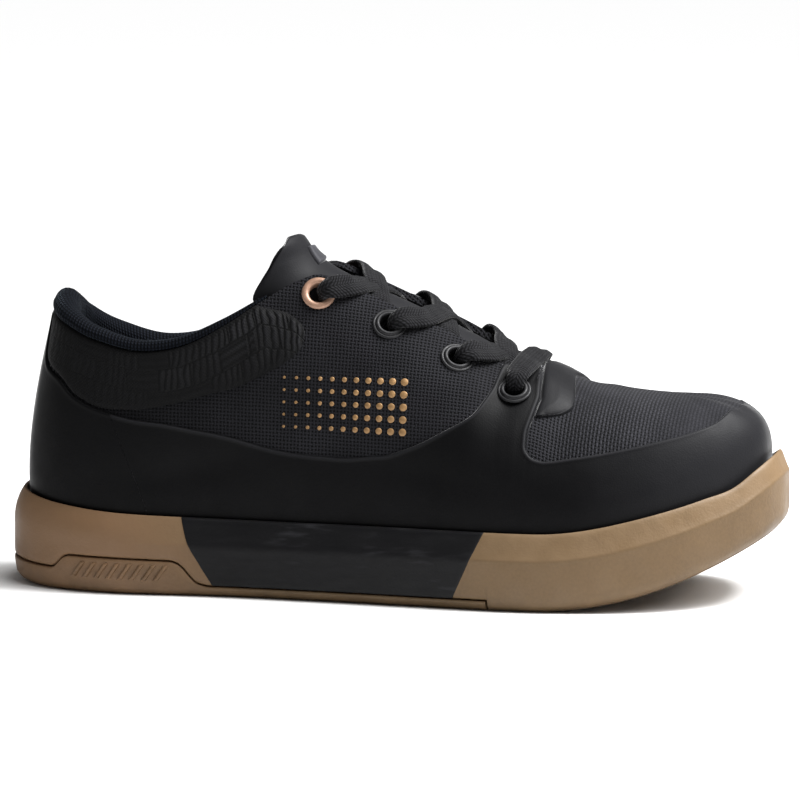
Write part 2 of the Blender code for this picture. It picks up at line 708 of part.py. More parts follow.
def build_overlays():
    black = (0.015, 0.015, 0.016)

    # Mudguard: both sides, joined round the toe
    turns = skin_stations([*MUD_TURNS[MUD_TURNS > ARM_TOP + 1e-3], SEAM_TURN + SEAM_GAP])
    turns = turns[turns > SEAM_TURN + SEAM_GAP / 2]
    outers, inners = overlay_grids(turns, np.full(len(turns), -1.0), mudguard_top(turns))
    cells = np.ones((len(turns) - 1, len(SKIN_V)), bool)
    arm_end = int(np.argmin(np.abs(turns - ARM_END)))
    cells[arm_end, 1 + np.flatnonzero(SKIN_V[:-1] > WINDOW_SPOTS[0, 1] - 0.02)] = False
    halves = [slab(*faces, cells, lambda spot: spot[0] == len(turns) - 1) for faces in zip(outers, inners)]
    mudguard = solid("mudguard", *merged(halves), black, 0.5)
    upper_holes(mudguard, [3])

    # Heel counter: both sides, joined at the back
    turns = skin_stations([row.turn for row in COUNTER_EDGE[:4]])
    turns = turns[turns < SEAM_TURN + 1e-5]
    grids = overlay_grids(turns, np.full(len(turns), -1.0), counter_top(turns))
    halves = [slab(*faces, seam=lambda spot: spot[0] == 0) for faces in zip(*grids)]
    solid("heel_counter", *merged(halves), black, 0.5)

    # Collar panels: from the counter's edge to a rounded front end
    tip = PANEL_SPOTS[-1, 0]
    turns = skin_stations([0.046, 0.066, 0.1, *PANEL_SPOTS[:, 0], *PANEL_TOP_SPOTS[:, 0]])
    turns = turns[(turns > 0.045) & (turns <= tip + 1e-5)]
    lower_turns = np.concatenate([[0.046, 0.066, 0.1, 0.15, 0.19, 0.235], PANEL_SPOTS[:, 0]])
    lower_v = np.concatenate([counter_top(lower_turns[:6]) + 0.02, PANEL_SPOTS[:, 1]])
    upper_turns = np.concatenate([[0.0], PANEL_TOP_SPOTS[:, 0]])
    upper_v = np.concatenate([[1.0, 1.0], PANEL_TOP_SPOTS[1:, 1]])
    low = np.interp(turns, lower_turns, lower_v)
    high = np.maximum(np.interp(turns, upper_turns, upper_v), low + 0.004)
    for side, outer, inner in zip(SIDES, *overlay_grids(turns, low, high)):
        solid(f"collar_panel_{SIDE_NAMES[side]}", *slab(outer, inner), (0.03, 0.03, 0.034), 0.8)

    # Throat tab: both sides, joined over the ridge
    turns = stations(TAB_TURNS)
    turns = turns[(turns > TAB_START - 1e-5) & (turns < TAB_END)]
    share = (turns - TAB_START) / (TAB_END - TAB_START)
    low = 1 - (1 - TAB_EDGE) * np.sqrt(1 - np.clip(share, 0, 1) ** 2)
    outers, inners = overlay_grids(turns, low, np.ones(len(turns)))
    outer = np.concatenate([outers[0], outers[1][:, -2::-1]], axis=1)
    inner = np.concatenate([inners[0], inners[1][:, -2::-1]], axis=1)
    solid("throat_tab", *slab(outer, inner), black, 0.5)


def eyelet_frames():
    """Centre, normal and two directions in the face for each eyelet, by side and number."""
    spots = spots_on_skin(EYELETS)
    frames = {}
    near_turns = np.linspace(-0.016, 0.016, 9)[:, None]
    near_v = np.linspace(-0.1, 0.1, 9)[None, :]
    for side in SIDES:
        for number, (turn, v) in enumerate(spots):
            centre = skin(side, turn, v, 0.0)
            normal = skin_normal(side, turn, v)
            around = skin(side, turn + near_turns, np.clip(v + near_v, 0, 1), 0.0) - centre
            close = np.linalg.norm(around, axis=-1) < EYELET_RING + 0.6
            centre = centre + normal * (around @ normal)[close].max()
            along = np.cross(normal, [0.0, 0.0, 1.0])
            along = along / np.linalg.norm(along)
            frames[side, number] = (centre, normal, along, np.cross(normal, along))
    return frames


def lathe(frame, profile):
    """Ring of revolution round a frame's normal from (radius, height) corners."""
    centre, normal, along, across = frame
    sections = []
    for k in range(EYELET_SIDES):
        angle = 2 * math.pi * k / EYELET_SIDES
        out = along * math.cos(angle) + across * math.sin(angle)
        sections.append([centre + out * radius + normal * height for radius, height in profile])
    return ring(np.array(sections))


def upper_holes(target, numbers):
    frames = eyelet_frames()
    pieces = []
    for side in SIDES:
        for number in numbers:
            centre, normal, along, across = frames[side, number]
            rims = []
            for height in (-6.0, 6.0):
                for k in range(EYELET_SIDES):
                    angle = 2 * math.pi * k / EYELET_SIDES
                    out = along * math.cos(angle) + across * math.sin(angle)
                    rims.append(centre + out * EYELET_CUT + normal * height)
            count = EYELET_SIDES
            faces = [(k, (k + 1) % count, (k + 1) % count + count, k + count) for k in range(count)]
            faces += [tuple(range(count)), tuple(range(2 * count - 1, count - 1, -1))]
            pieces.append((np.array(rims), faces))
    cut(target, solid(f"{target.name}_hole_cutter", *merged(pieces), helper=True))


def build_eyelets():
    for (side, number), frame in eyelet_frames().items():
        low = (OVERLAY_HIGH if number == 3 else 0.0) + 0.25
        profile = [
            (EYELET_HOLE, -WALL_THICK),
            (EYELET_BARREL, -WALL_THICK),
            (EYELET_BARREL, low),
            (EYELET_RING, low),
            (EYELET_HOLE + 0.8, low + 1.1),
        ]
        colour = (0.30, 0.16, 0.07) if number == 0 else (0.01, 0.01, 0.011)
        solid(f"eyelet_{SIDE_NAMES[side]}_{number + 1}", *lathe(frame, profile), colour, 0.4)


def build_collar():
    """Padded roll over the collar's edge, from the front end on one side round the heel to the other."""
    turns = skin_stations()
    turns = turns[turns <= COLLAR_END + 1e-6]
    depths = 1 - SKIN_V[:-5:-1]
    swell = np.array([0.95, 1.0, 0.6, 0.12])
    sections = {}
    for side in SIDES:
        made = []
        for turn in turns:
            top = float(curve(COLLAR_PAD, "top", turn))
            bulge = float(curve(COLLAR_PAD, "bulge", turn))
            edge = skin_raw(side, turn, 1.0)
            out = skin_normal(side, turn, 1.0)
            up = edge - skin_raw(side, turn, 0.98)
            up = up / np.linalg.norm(up)
            width = WALL_THICK + LINING_GAP + bulge
            crown = []
            for row in COLLAR_CROWN:
                crown.append(edge - out * (row.share * width) + up * (GAP + row.height * top))
            hidden = WALL_THICK + LINING_GAP
            pad = [skin(side, turn, 1 - depth, -hidden - bulge * s) for depth, s in zip(depths, swell)]
            back = [skin(side, turn, 1 - depth, -hidden) for depth in depths[::-1]]
            corner = edge - out * hidden + up * GAP
            made.append(crown + pad + back + [corner])
        sections[side] = np.array(made)
    loop = np.concatenate([sections[LATERAL][::-1], sections[MEDIAL][1:]])
    count, corners = loop.shape[:2]
    points, faces = ring(loop)
    faces = [face for face in faces if max(face) - min(face) < 2 * corners]
    faces += [tuple(range(corners)), tuple(range((count - 1) * corners, count * corners))]
    solid("collar_lining", points, faces, (0.03, 0.033, 0.04), 0.9)


def tongue_grids():
    places = np.linspace(0, 1, 12)
    across = np.linspace(-1, 1, 7)
    half, back, down = (curve(TONGUE, name, places)[:, None] for name in ("half", "back", "down"))
    bend = 2 * np.arctan(np.hypot(back, down) / half)
    sag = (1 - np.cos(across * bend)) / (1 - np.cos(bend))
    x = curve(TONGUE, "x", places)[:, None] - back * sag
    y = half * np.sin(across * bend) / np.sin(bend)
    z = curve(TONGUE, "z", places)[:, None] - down * sag
    outer = np.stack([x, y, z], axis=-1)
    normal = np.cross(np.gradient(outer, axis=1), np.gradient(outer, axis=0))
    normal = normal / np.linalg.norm(normal, axis=-1, keepdims=True)
    sunk = 0.36 * across**4
    thick = curve(TONGUE, "thick", places)[:, None]
    return outer - normal * (thick * sunk)[..., None], outer - normal * (thick * (1 - sunk))[..., None]


def lace_strand(start, end, arch):
    """Flat strap from one eyelet to another over the throat."""
    points = []
    count = 6
    begin, begin_normal = start
    finish, finish_normal = end
    for k in range(count):
        u = k / (count - 1)
        flat = begin * (1 - u) + finish * u
        lift = 4 * u * (1 - u)
        points.append(flat + np.array([0.0, 0.0, arch]) * lift**0.3)
    points = np.array(points)
    sections = []
    for k in range(count):
        ahead = points[min(k + 1, count - 1)] - points[max(k - 1, 0)]
        ahead = ahead / np.linalg.norm(ahead)
        u = k / (count - 1)
        face = begin_normal * (1 - u) + finish_normal * u
        face = face - ahead * face.dot(ahead)
        face = face / np.linalg.norm(face)
        wide = np.cross(ahead, face)
        corners = [(-1, 0), (-0.8, -1), (0.8, -1), (1, 0), (0.8, 1), (-0.8, 1)]
        sections.append(
            [points[k] + wide * LACE_HALF_WIDTH * a + face * LACE_HALF_THICK * b for a, b in corners]
        )
    points, faces = ring(np.array(sections))
    faces = [face for face in faces if max(face) - min(face) < 12]
    faces += [tuple(range(6)), tuple(range(len(points) - 6, len(points)))]
    return points, faces


def build_lace():
    frames = eyelet_frames()
    ends = {}
    for (side, number), (centre, normal, _, _) in frames.items():
        ends[side, number] = (centre + normal * EYELETS[number].lace, normal)
    strands = []
    for number in (3, 2, 1):
        for side in SIDES:
            strands.append((ends[side, number], ends[-side, number - 1]))
    bar = (ends[LATERAL, 3], ends[MEDIAL, 3])
    lace = None
    for k, (start, end) in enumerate([bar] + strands):
        rise = abs(start[0][1] - end[0][1]) * 0.09 + LACE_ARCH + (0.8 if k % 2 else 0.0)
        points, faces = lace_strand(start, end, rise)
        if k == 0:
            lace = solid("lace", points, faces, (0.03, 0.032, 0.038), 0.9)
        else:
            cut(lace, solid(f"lace_strand_{k}", points, faces, helper=True), "UNION")


def clear_scene():
    for item in list(bpy.data.objects):
        bpy.data.objects.remove(item, do_unlink=True)


clear_scene()
build_sole()
build_upper()
build_overlays()
build_eyelets()
build_collar()
solid("tongue", *slab(*tongue_grids()), (0.018, 0.018, 0.02), 0.6)
build_lace()
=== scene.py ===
"""Looks of the low-cut lace-up sneaker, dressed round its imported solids. Shapes are in millimetres."""

import math
from collections import namedtuple

import bmesh
import bpy
import numpy as np
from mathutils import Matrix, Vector
from mathutils.kdtree import KDTree


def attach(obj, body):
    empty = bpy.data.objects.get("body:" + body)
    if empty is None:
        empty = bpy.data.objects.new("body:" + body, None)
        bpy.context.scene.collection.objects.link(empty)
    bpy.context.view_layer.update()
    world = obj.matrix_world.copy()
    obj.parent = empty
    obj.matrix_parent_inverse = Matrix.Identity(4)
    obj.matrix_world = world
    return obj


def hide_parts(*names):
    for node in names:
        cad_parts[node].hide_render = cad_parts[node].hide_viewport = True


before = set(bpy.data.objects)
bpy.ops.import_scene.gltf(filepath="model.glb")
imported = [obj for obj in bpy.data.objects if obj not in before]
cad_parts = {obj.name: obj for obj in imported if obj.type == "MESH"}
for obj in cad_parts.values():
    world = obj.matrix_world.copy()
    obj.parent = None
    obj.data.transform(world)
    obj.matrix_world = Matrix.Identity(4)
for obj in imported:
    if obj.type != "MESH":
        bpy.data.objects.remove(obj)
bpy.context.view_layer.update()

MM = 0.001
LATERAL = -1
MEDIAL = 1
SIDES = (LATERAL, MEDIAL)
SIDE_NAMES = {LATERAL: "lateral", MEDIAL: "medial"}


def table(fields, *rows):
    """Rows of numbers with named columns."""
    kind = namedtuple("Row", fields)
    return [kind(*row) for row in rows]


# Driving sizes, most of them those of the part's source
HALF_LENGTH = 140.0
CENTRE_SHIFT = 2.17
END_ROUNDING = 0.75
TOE_SPRING = 27.0
SPRING_START = 55.0
GAP = 0.3
OUTSOLE_THICK = 3.8
SPLIT = OUTSOLE_THICK + GAP
GROOVE_END = 40.0
REBATE = 3.3
FRONT_LOW = 0.5
CUP_INSET = 4.45
UPPER_INSET = 6.4
TUCK = 1.5
WALL_THICK = 2.4
LINING_GAP = 0.6
INSOLE_THICK = 4.0
EDGE_LIFT = 1.5
THROAT_END = 0.6225
THROAT_ROUND = 0.598
ARM_END = 0.6212
TAB_START = 0.6224
TAB_END = 0.655
TAB_EDGE = 0.58
SEAM_GAP = 0.0006
SEAM_FADES = (0.14, 0.36)
ARM_FADES = (0.600, 0.660)
COLLAR_END = 0.425

# How the skin is evened out, turns level in the cup and takes creases, and how edges and heel are rounded
EVEN_REACH = 0.05
EVEN_STEPS = np.linspace(-0.6, 0.6, 7)
EVEN_TOP = (0.5, 0.8)
LEVEL_FADE = 12
CREASE_FADES = (5, 6)
EDGE_PULLS = (1.0, 0.4, 0.12)
HEEL_ROUND = 0.62
HEEL_CURVE = 2.4
HEEL_FADES = (-100.0, -72.0)

# Plan of the sole: half widths before the ends are rounded off
PLAN = table(
    "x lateral medial",
    (-140, 54.5, 54.5),
    (-105, 50.4, 50.4),
    (-60, 41.5, 37.0),
    (-20, 43.3, 36.3),
    (20, 49.4, 41.5),
    (50, 55.8, 50.2),
    (80, 58.6, 55.8),
    (105, 58.6, 61.0),
    (125, 55.5, 63.5),
    (140, 52.0, 63.0),
)

# Heights along the sole: lift of the heel's back edge, wall height and footbed above the lowest line
LEVELS = table(
    "x lift wall footbed",
    (-140, 1.2, 33.0, 15.5),
    (-128, 0.2, 31.6, 15.5),
    (-110, 0.0, 29.8, 15.0),
    (-70, 0.0, 28.2, 14.0),
    (0, 0.0, 28.0, 12.5),
    (60, 0.0, 28.0, 11.5),
    (100, 0.0, 27.8, 11.5),
    (117, 0.0, 26.2, 11.0),
    (128, 0.0, 24.8, 11.0),
    (135, 0.0, 26.4, 11.5),
    (140, 0.0, 27.4, 12.0),
)

# Side wall of the sole: inset at each share of its height, with a soft ridge below the bevel
WALL = table(
    "share inset",
    (0.00, 4.0), (0.03, 2.0), (0.08, 0.7), (0.15, 0.05), (0.30, 0.0), (0.60, 0.05), (0.655, 0.0),
    (0.69, 0.3), (0.73, 0.75), (0.94, 2.45), (0.98, 2.9), (1.00, 3.5),
)

# Rise of the outsole's side round the heel, with a raised tab on the outer side
HEEL_TAB = table(
    "x lateral medial",
    (-140.0, 4.3, 4.3),
    (-122.4, 4.4, 4.4),
    (-120.9, 5.0, 4.4),
    (-117.2, 8.6, 4.4),
    (-115.0, 9.2, 4.4),
    (-77.5, 8.7, 4.4),
    (-74.6, 7.9, 3.9),
    (-67.5, 1.0, 0.6),
    (-64.0, 0.0, 0.0),
)

# Ends of the black panel in the side wall by share of its height
PANEL_ENDS = table(
    "share back front",
    (0.0, -61.9, 27.3),
    (0.33, -66.9, 30.8),
    (0.66, -71.4, 34.3),
    (1.0, -73.6, 37.9),
)

# Ribs of the upper, heel (0) to toe (1): upper ends, curve handles, how much lower the inner side ends
RIBS = table(
    "turn x half z drop rise belly reach low",
    (0.000, -125.2, 0.0, 98.5, 75, 0.31, 1.5, 0.31, 0.0),
    (0.080, -123.8, 9.8, 97.6, 76, 0.31, 1.5, 0.31, 1.0),
    (0.160, -118.0, 18.8, 94.4, 78, 0.31, 1.5, 0.31, 2.4),
    (0.230, -106.0, 24.8, 89.8, 80, 0.32, 1.5, 0.30, 4.2),
    (0.290, -89.0, 28.0, 86.8, 80, 0.33, 1.5, 0.30, 5.2),
    (0.340, -73.0, 28.8, 89.8, 78, 0.35, 1.2, 0.29, 5.0),
    (0.380, -59.5, 27.8, 96.8, 74, 0.38, 1.0, 0.28, 3.8),
    (0.420, -46.0, 24.5, 105.8, 66, 0.41, 0.8, 0.27, 1.8),
    (0.455, -34.0, 20.0, 112.6, 56, 0.43, 0.6, 0.26, 0.4),
    (0.480, -25.5, 16.4, 114.6, 48, 0.45, 0.5, 0.27, 0.0),
    (0.505, -12.0, 15.6, 109.3, 43, 0.46, 0.5, 0.29, 0.0),
    (0.530, 2.0, 15.5, 103.2, 40, 0.47, 0.6, 0.31, 0.0),
    (0.570, 26.0, 15.0, 92.2, 36, 0.49, 0.8, 0.35, 0.0),
    (0.600, 43.0, 13.6, 82.6, 32, 0.50, 1.0, 0.38, 0.0),
    (0.6225, 52.6, 12.6, 82.0, 27, 0.51, 1.0, 0.40, 0.0),
    (0.645, 61.0, 0.0, 78.3, 0, 0.52, 1.0, 0.41, 0.0),
    (0.670, 69.5, 0.0, 75.6, 0, 0.53, 1.0, 0.42, 0.0),
    (0.700, 78.0, 0.0, 74.2, 0, 0.55, 1.0, 0.43, 0.0),
    (0.740, 86.5, 0.0, 73.1, 0, 0.58, 1.0, 0.45, 0.0),
    (0.790, 93.5, 0.0, 72.5, 0, 0.63, 0.9, 0.48, 0.0),
    (0.860, 99.0, 0.0, 72.3, 0, 0.70, 0.8, 0.53, 0.0),
    (0.930, 102.0, 0.0, 72.3, 0, 0.76, 0.6, 0.58, 0.0),
    (1.000, 103.5, 0.0, 72.2, 0, 0.79, 0.5, 0.60, 0.0),
)

# Edges of the overlays as seen from the side
MUDGUARD_EDGE = table(
    "x z",
    (-99.6, 64.3), (-85, 62), (-66, 59), (-36, 53), (-21, 52), (-12, 52), (-0.6, 53.3), (9, 56.4),
    (16, 59.7), (27, 65.8), (32, 69), (35, 72.5), (38, 77.5),
)
ARM_TOP = 0.5945
WINDOW_EDGE = table("x z", (59, 53.8), (70, 55.2), (81, 57), (93, 59.4), (106, 62.4), (114.5, 65.0))
WINDOW_NOSE = table("turn v", (0.93, 0.60), (0.97, 0.615), (1.0, 0.62))
WINDOW_CORNER = 0.085
SEAM_EDGE = table("x z", (-87.0, 31.0), (-91.0, 41.0), (-100.8, 64.3))
PANEL_EDGE = table(
    "x z",
    (-97, 66), (-66, 72), (-55, 75), (-41, 82), (-33, 88), (-30.6, 91.5), (-30, 95),
)
PANEL_TOP = table(
    "x z",
    (-48.5, 104), (-45.6, 104), (-37, 102.3), (-32.5, 99.5), (-30.7, 97.3), (-30, 95),
)

# Lean of the arm's front edge: turn added at each v
ARM_LEAN = table("v turn", (0.50, 0.0), (0.58, 0.0035), (0.68, 0.007), (0.80, 0.0045), (0.97, 0.0))

# Top of the heel counter round the back of the heel
COUNTER_EDGE = table(
    "turn z",
    (0.000, 97.2), (0.062, 96.8), (0.074, 92.0), (0.083, 83.0), (0.105, 79.0), (0.150, 75.5),
    (0.190, 69.3), (0.250, 64.3), (0.300, 62.4),
)

# Eyelets, from the top one down
EYELETS = table("x z", (-26.0, 109.2), (0.0, 99.2), (25.0, 88.0), (45.5, 75.8))
EYELET_HOLE = 3.5
EYELET_CUT = 4.4
EYELET_RING = 6.1
EYELET_SIDES = 40

# Padded collar: how far it stands above the edge and bulges inside
COLLAR_PAD = table(
    "turn top bulge",
    (0.00, 7.0, 6.0),
    (0.16, 5.4, 6.0),
    (0.29, 3.8, 5.5),
    (0.38, 2.4, 4.2),
    (0.425, 0.9, 1.2),
)

# Tongue: middle of its outer face from the vamp to the top, and how far its edges lie out, back and down
TONGUE = table(
    "place x z half back down thick",
    (0.00, 66.0, 71.3, 18.0, 1.0, 6.5, 3.0),
    (0.12, 51.0, 78.2, 19.5, 3.0, 8.5, 4.0),
    (0.35, 26.0, 92.0, 20.0, 4.5, 10.5, 5.0),
    (0.56, 2.0, 103.0, 20.0, 7.0, 11.5, 5.5),
    (0.70, -12.0, 109.0, 20.0, 13.0, 12.5, 6.0),
    (0.82, -24.0, 114.6, 18.4, 26.6, 11.0, 5.6),
    (0.92, -31.6, 120.4, 19.0, 12.8, 4.6, 4.4),
    (0.97, -34.3, 124.6, 15.8, 5.6, 2.2, 3.4),
    (1.00, -35.9, 127.0, 10.6, 2.8, 1.4, 2.6),
)

# Soft creases of the upper: centre seen from the side, direction, half length, half width and depth
CREASES = table(
    "x z angle length width depth",
    (66, 66, 70, 16, 5.0, 0.7),
    (75, 68, 80, 14, 4.0, -0.4),
    (-24, 66, 20, 22, 7.0, 0.6),
    (-40, 92, 62, 9, 2.6, 0.6),
    (-52, 88, 68, 10, 3.0, 0.5),
    (6, 82, 30, 14, 5.0, 0.5),
    (-75, 44, 12, 26, 7.0, 0.7),
    (20, 46, -8, 26, 8.0, 0.6),
    (92, 50, 20, 22, 7.0, 0.6),
)


# Curves through tables
def column(rows, name):
    return np.array([getattr(row, name) for row in rows], float)


def hermite(keys, values, tangent, at):
    """Cubic curve through the given points with the given slopes."""
    at = np.clip(np.asarray(at, float), keys[0], keys[-1])
    width = np.diff(keys)
    i = np.clip(np.searchsorted(keys, at, side="right") - 1, 0, len(keys) - 2)
    u = (at - keys[i]) / width[i]
    start = (1 + 2 * u) * (1 - u) ** 2 * values[i] + u * (1 - u) ** 2 * width[i] * tangent[i]
    end = u * u * (3 - 2 * u) * values[i + 1] - u * u * (1 - u) * width[i] * tangent[i + 1]
    return start + end


def curve(rows, name, at):
    """One column of a table as a smooth function of the table's first column."""
    keys = column(rows, rows[0]._fields[0])
    values = column(rows, name)
    width = np.diff(keys)
    slope = np.diff(values) / width
    inner = (slope[:-1] * width[1:] + slope[1:] * width[:-1]) / (width[1:] + width[:-1])
    return hermite(keys, values, np.concatenate([slope[:1], inner, slope[-1:]]), at)


def rounded(keys, values, at):
    """Smooth function through points given in order, without overshoot."""
    slope = np.diff(values) / np.diff(keys)
    same = slope[:-1] * slope[1:] > 0
    inner = np.where(same, 2 * slope[:-1] * slope[1:] / np.where(same, slope[:-1] + slope[1:], 1), 0)
    return hermite(keys, values, np.concatenate([slope[:1], inner, slope[-1:]]), at)


def rounded_column(rows, name, at):
    """One column of a table as a function of the first one, without overshoot."""
    return rounded(column(rows, rows[0]._fields[0]), column(rows, name), at)


def straight(rows, name, at):
    return np.interp(at, column(rows, rows[0]._fields[0]), column(rows, name))


def unit(vectors):
    return vectors / np.linalg.norm(vectors, axis=-1, keepdims=True)


def lengths_along(points, axis=0):
    """Running length through a grid of points along one of its axes."""
    steps = np.linalg.norm(np.diff(points, axis=axis), axis=-1)
    return np.pad(np.cumsum(steps, axis=axis), [(int(i == axis), 0) for i in range(steps.ndim)])


def smooth_line(points, count):
    """Points at even steps along a smooth curve through the given ones."""
    points = np.asarray(points, float)
    gaps = np.sqrt(np.linalg.norm(np.diff(points, axis=0), axis=1))
    keys = np.concatenate([[0], np.cumsum(gaps)])
    names = [f"c{i}" for i in range(points.shape[1])]
    rows = table(" ".join(["at", *names]), *np.column_stack([keys, points]))
    fine = np.linspace(0, keys[-1], 40 * len(points))
    dense = np.stack([curve(rows, name, fine) for name in names], axis=-1)
    walked = lengths_along(dense[:, :3])
    even = np.linspace(0, walked[-1], count)
    return np.stack([np.interp(even, walked, values) for values in dense.T], axis=-1)


def matched(side, turn, v):
    """Side, turn and v as arrays of one shape."""
    return np.broadcast_arrays(np.asarray(side), np.asarray(turn, float), np.asarray(v, float))


# Sole and upper as functions
def turn_at(x):
    """Share of the half turn round the sole's outline, from heel to toe, at a place along it."""
    return np.arccos(np.clip(-np.asarray(x, float) / HALF_LENGTH, -1, 1)) / math.pi


def plan_x(turn):
    return -HALF_LENGTH * np.cos(math.pi * np.asarray(turn, float))


def folded(side, turn):
    """Past the heel or toe the outline goes on along the other side."""
    turn = np.asarray(turn, float)
    over = (turn < 0) | (turn > 1)
    turn = np.where(turn < 0, -turn, np.where(turn > 1, 2 - turn, turn))
    return np.where(over, -np.asarray(side), np.asarray(side)), turn


def plan_raw(side, turn):
    side, turn = folded(side, turn)
    x = plan_x(turn)
    full = np.where(side == LATERAL, curve(PLAN, "lateral", x), curve(PLAN, "medial", x))
    y = side * full * np.sin(math.pi * turn) ** END_ROUNDING
    return np.stack([x, y], axis=-1)


def plan(side, turn, inset):
    """Point of the sole's outline moved inwards along its normal, and that outward normal."""
    side, turn = np.broadcast_arrays(np.asarray(side), np.asarray(turn, float))
    step = 2e-3
    along = plan_raw(side, turn + step) - plan_raw(side, turn - step)
    normal = unit(np.stack([-along[..., 1], along[..., 0]], axis=-1) * side[..., None])
    return plan_raw(side, turn) - np.asarray(inset, float)[..., None] * normal, normal


def base(x):
    """Height of the sole's lowest line: flat from the heel to the ball, then the toe spring."""
    spring = np.clip((x - SPRING_START) / (HALF_LENGTH - SPRING_START), 0, 1)
    return np.maximum(curve(LEVELS, "lift", x), 0) + TOE_SPRING * spring**2


def wall_height(x):
    return curve(LEVELS, "wall", x)


def wall_inset(turn, height):
    """Inset of the side wall: bevelled along the shoe, plainly rounded at the heel."""
    x = plan_x(turn)
    share = np.asarray(height, float) / wall_height(x)
    bevelled = straight(WALL, "inset", share)
    plain = WALL[-1].inset * np.clip((share - HEEL_ROUND) / (1 - HEEL_ROUND), 0, 1) ** HEEL_CURVE
    heel = np.interp(x, HEEL_FADES, [1.0, 0.0]) * (share > HEEL_ROUND)
    return bevelled + (plain - bevelled) * heel


def placed(flat, z):
    return np.concatenate([flat, np.broadcast_to(z, flat.shape[:-1])[..., None]], axis=-1)


def top_line(side, turn):
    """Upper end of each rib: collar, throat edge or ridge of the vamp."""
    rounding = np.clip((turn - THROAT_ROUND) / (THROAT_END - THROAT_ROUND), 0, 1)
    fade = np.sqrt(1 - rounding**2)
    half = curve(RIBS, "half", turn) * fade
    z = curve(RIBS, "z", turn) - np.where(side == MEDIAL, curve(RIBS, "low", turn), 0.0)
    top = np.stack([curve(RIBS, "x", turn), side * half, z], axis=-1)
    return top, np.radians(curve(RIBS, "drop", turn) * fade)


def ridge_slope(turn):
    step = 1e-3
    climb = curve(RIBS, "z", turn + step) - curve(RIBS, "z", turn - step)
    return climb / (curve(RIBS, "x", turn + step) - curve(RIBS, "x", turn - step))


def skin_rib(side, turn, v):
    """Outer face of the upper: v from -1 at the footbed and 0 at the sole's lip to 1 at the top line."""
    side, turn, v = matched(side, turn, v)
    side, turn = folded(side, turn)
    flat, normal = plan(side, turn, np.full(turn.shape, UPPER_INSET))
    foot = placed(flat, base(flat[..., 0]) + wall_height(flat[..., 0]))
    inner = flat - TUCK * normal
    under = inner[..., 0] + 2 * EDGE_LIFT * normal[..., 0]
    hem = placed(inner, base(under) + curve(LEVELS, "footbed", under) + GAP)
    top, drop = top_line(side, turn)
    chord = np.linalg.norm(foot - top, axis=-1)
    lean = unit((foot - top)[..., :2])
    ridge = np.where(turn > THROAT_END, ridge_slope(turn), 0)
    rise = curve(RIBS, "rise", turn) * (top[..., 2] - foot[..., 2])
    first = foot + placed(curve(RIBS, "belly", turn)[..., None] * normal, rise)
    down = lean[..., 0] * ridge * np.cos(drop) - np.sin(drop)
    reach = curve(RIBS, "reach", turn) * chord
    second = top + reach[..., None] * placed(lean * np.cos(drop)[..., None], down)
    u = np.clip(v, 0, 1)[..., None]
    arch = foot * (1 - u) ** 3 + 3 * first * u * (1 - u) ** 2 + 3 * second * u * u * (1 - u) + top * u**3
    below = np.clip(-v, 0, 1)[..., None]
    return np.where(v[..., None] < 0, foot + (hem - foot) * below, arch)


def skin_raw(side, turn, v):
    """Outer face of the upper, evened out below the front of the throat where its ribs change."""
    side, turn, v = matched(side, turn, v)
    points = skin_rib(side, turn, v)
    near = np.clip(1 - np.abs(turn - THROAT_END) / EVEN_REACH, 0, 1)
    ease = near * near * (3 - 2 * near)
    share = np.where(v > 0, ease * np.interp(v, EVEN_TOP, (1.0, 0.0)), 0.0)
    touched = share > 0
    if touched.any():
        offsets = EVEN_STEPS[:, None] * EVEN_REACH
        even = skin_rib(side[touched], turn[touched] + offsets, v[touched]).mean(axis=0)
        points[touched] += (even - points[touched]) * share[touched][:, None]
    return points


def skin_normal(side, turn, v):
    side, turn, v = matched(side, turn, v)
    step = 2e-3
    low = np.clip(v, 0.0, 1 - step)
    along = skin_raw(side, turn + step, low) - skin_raw(side, turn - step, low)
    up = skin_raw(side, turn, low + step) - skin_raw(side, turn, low)
    normal = np.cross(up, along) * side[..., None]
    on_ridge = (v > 1 - 1e-9) & (turn > THROAT_END - 1e-9)
    level = np.zeros(turn.shape)
    over_ridge = np.stack([-ridge_slope(turn), level, level + 1], axis=-1)
    return unit(np.where(on_ridge[..., None], over_ridge, normal))


def crease_depth(points):
    """How far the soft creases pull the upper in."""
    depth = np.zeros(points.shape[:-1])
    for row in CREASES:
        angle = math.radians(row.angle)
        x = points[..., 0] - row.x
        z = points[..., 2] - row.z
        along = (x * math.cos(angle) + z * math.sin(angle)) / row.length
        across = (z * math.cos(angle) - x * math.sin(angle)) / row.width
        depth += row.depth * np.exp(-(along**2) - across**2)
    return depth


def skin(side, turn, v, lift):
    """Face of the upper moved outwards by lift; inside the cup it moves level."""
    side, turn, v = matched(side, turn, v)
    lift = np.broadcast_to(np.asarray(lift, float), v.shape)
    level = placed(plan(side, turn, np.zeros(turn.shape))[1], np.zeros(turn.shape))
    share = np.clip(v * LEVEL_FADE, 0, 1)[..., None]
    normal = unit(level + (skin_normal(side, turn, v) - level) * share)
    raw = skin_raw(side, turn, v)
    low, high = CREASE_FADES
    lift = lift - crease_depth(raw) * np.clip(v * low, 0, 1) * np.clip((1 - v) * high, 0, 1)
    return raw + lift[..., None] * normal


GRID_TURN = np.linspace(0, 1, 401)
GRID_V = np.linspace(0, 1, 121)
GRID = skin(LATERAL, GRID_TURN[:, None], GRID_V[None, :], EDGE_LIFT)


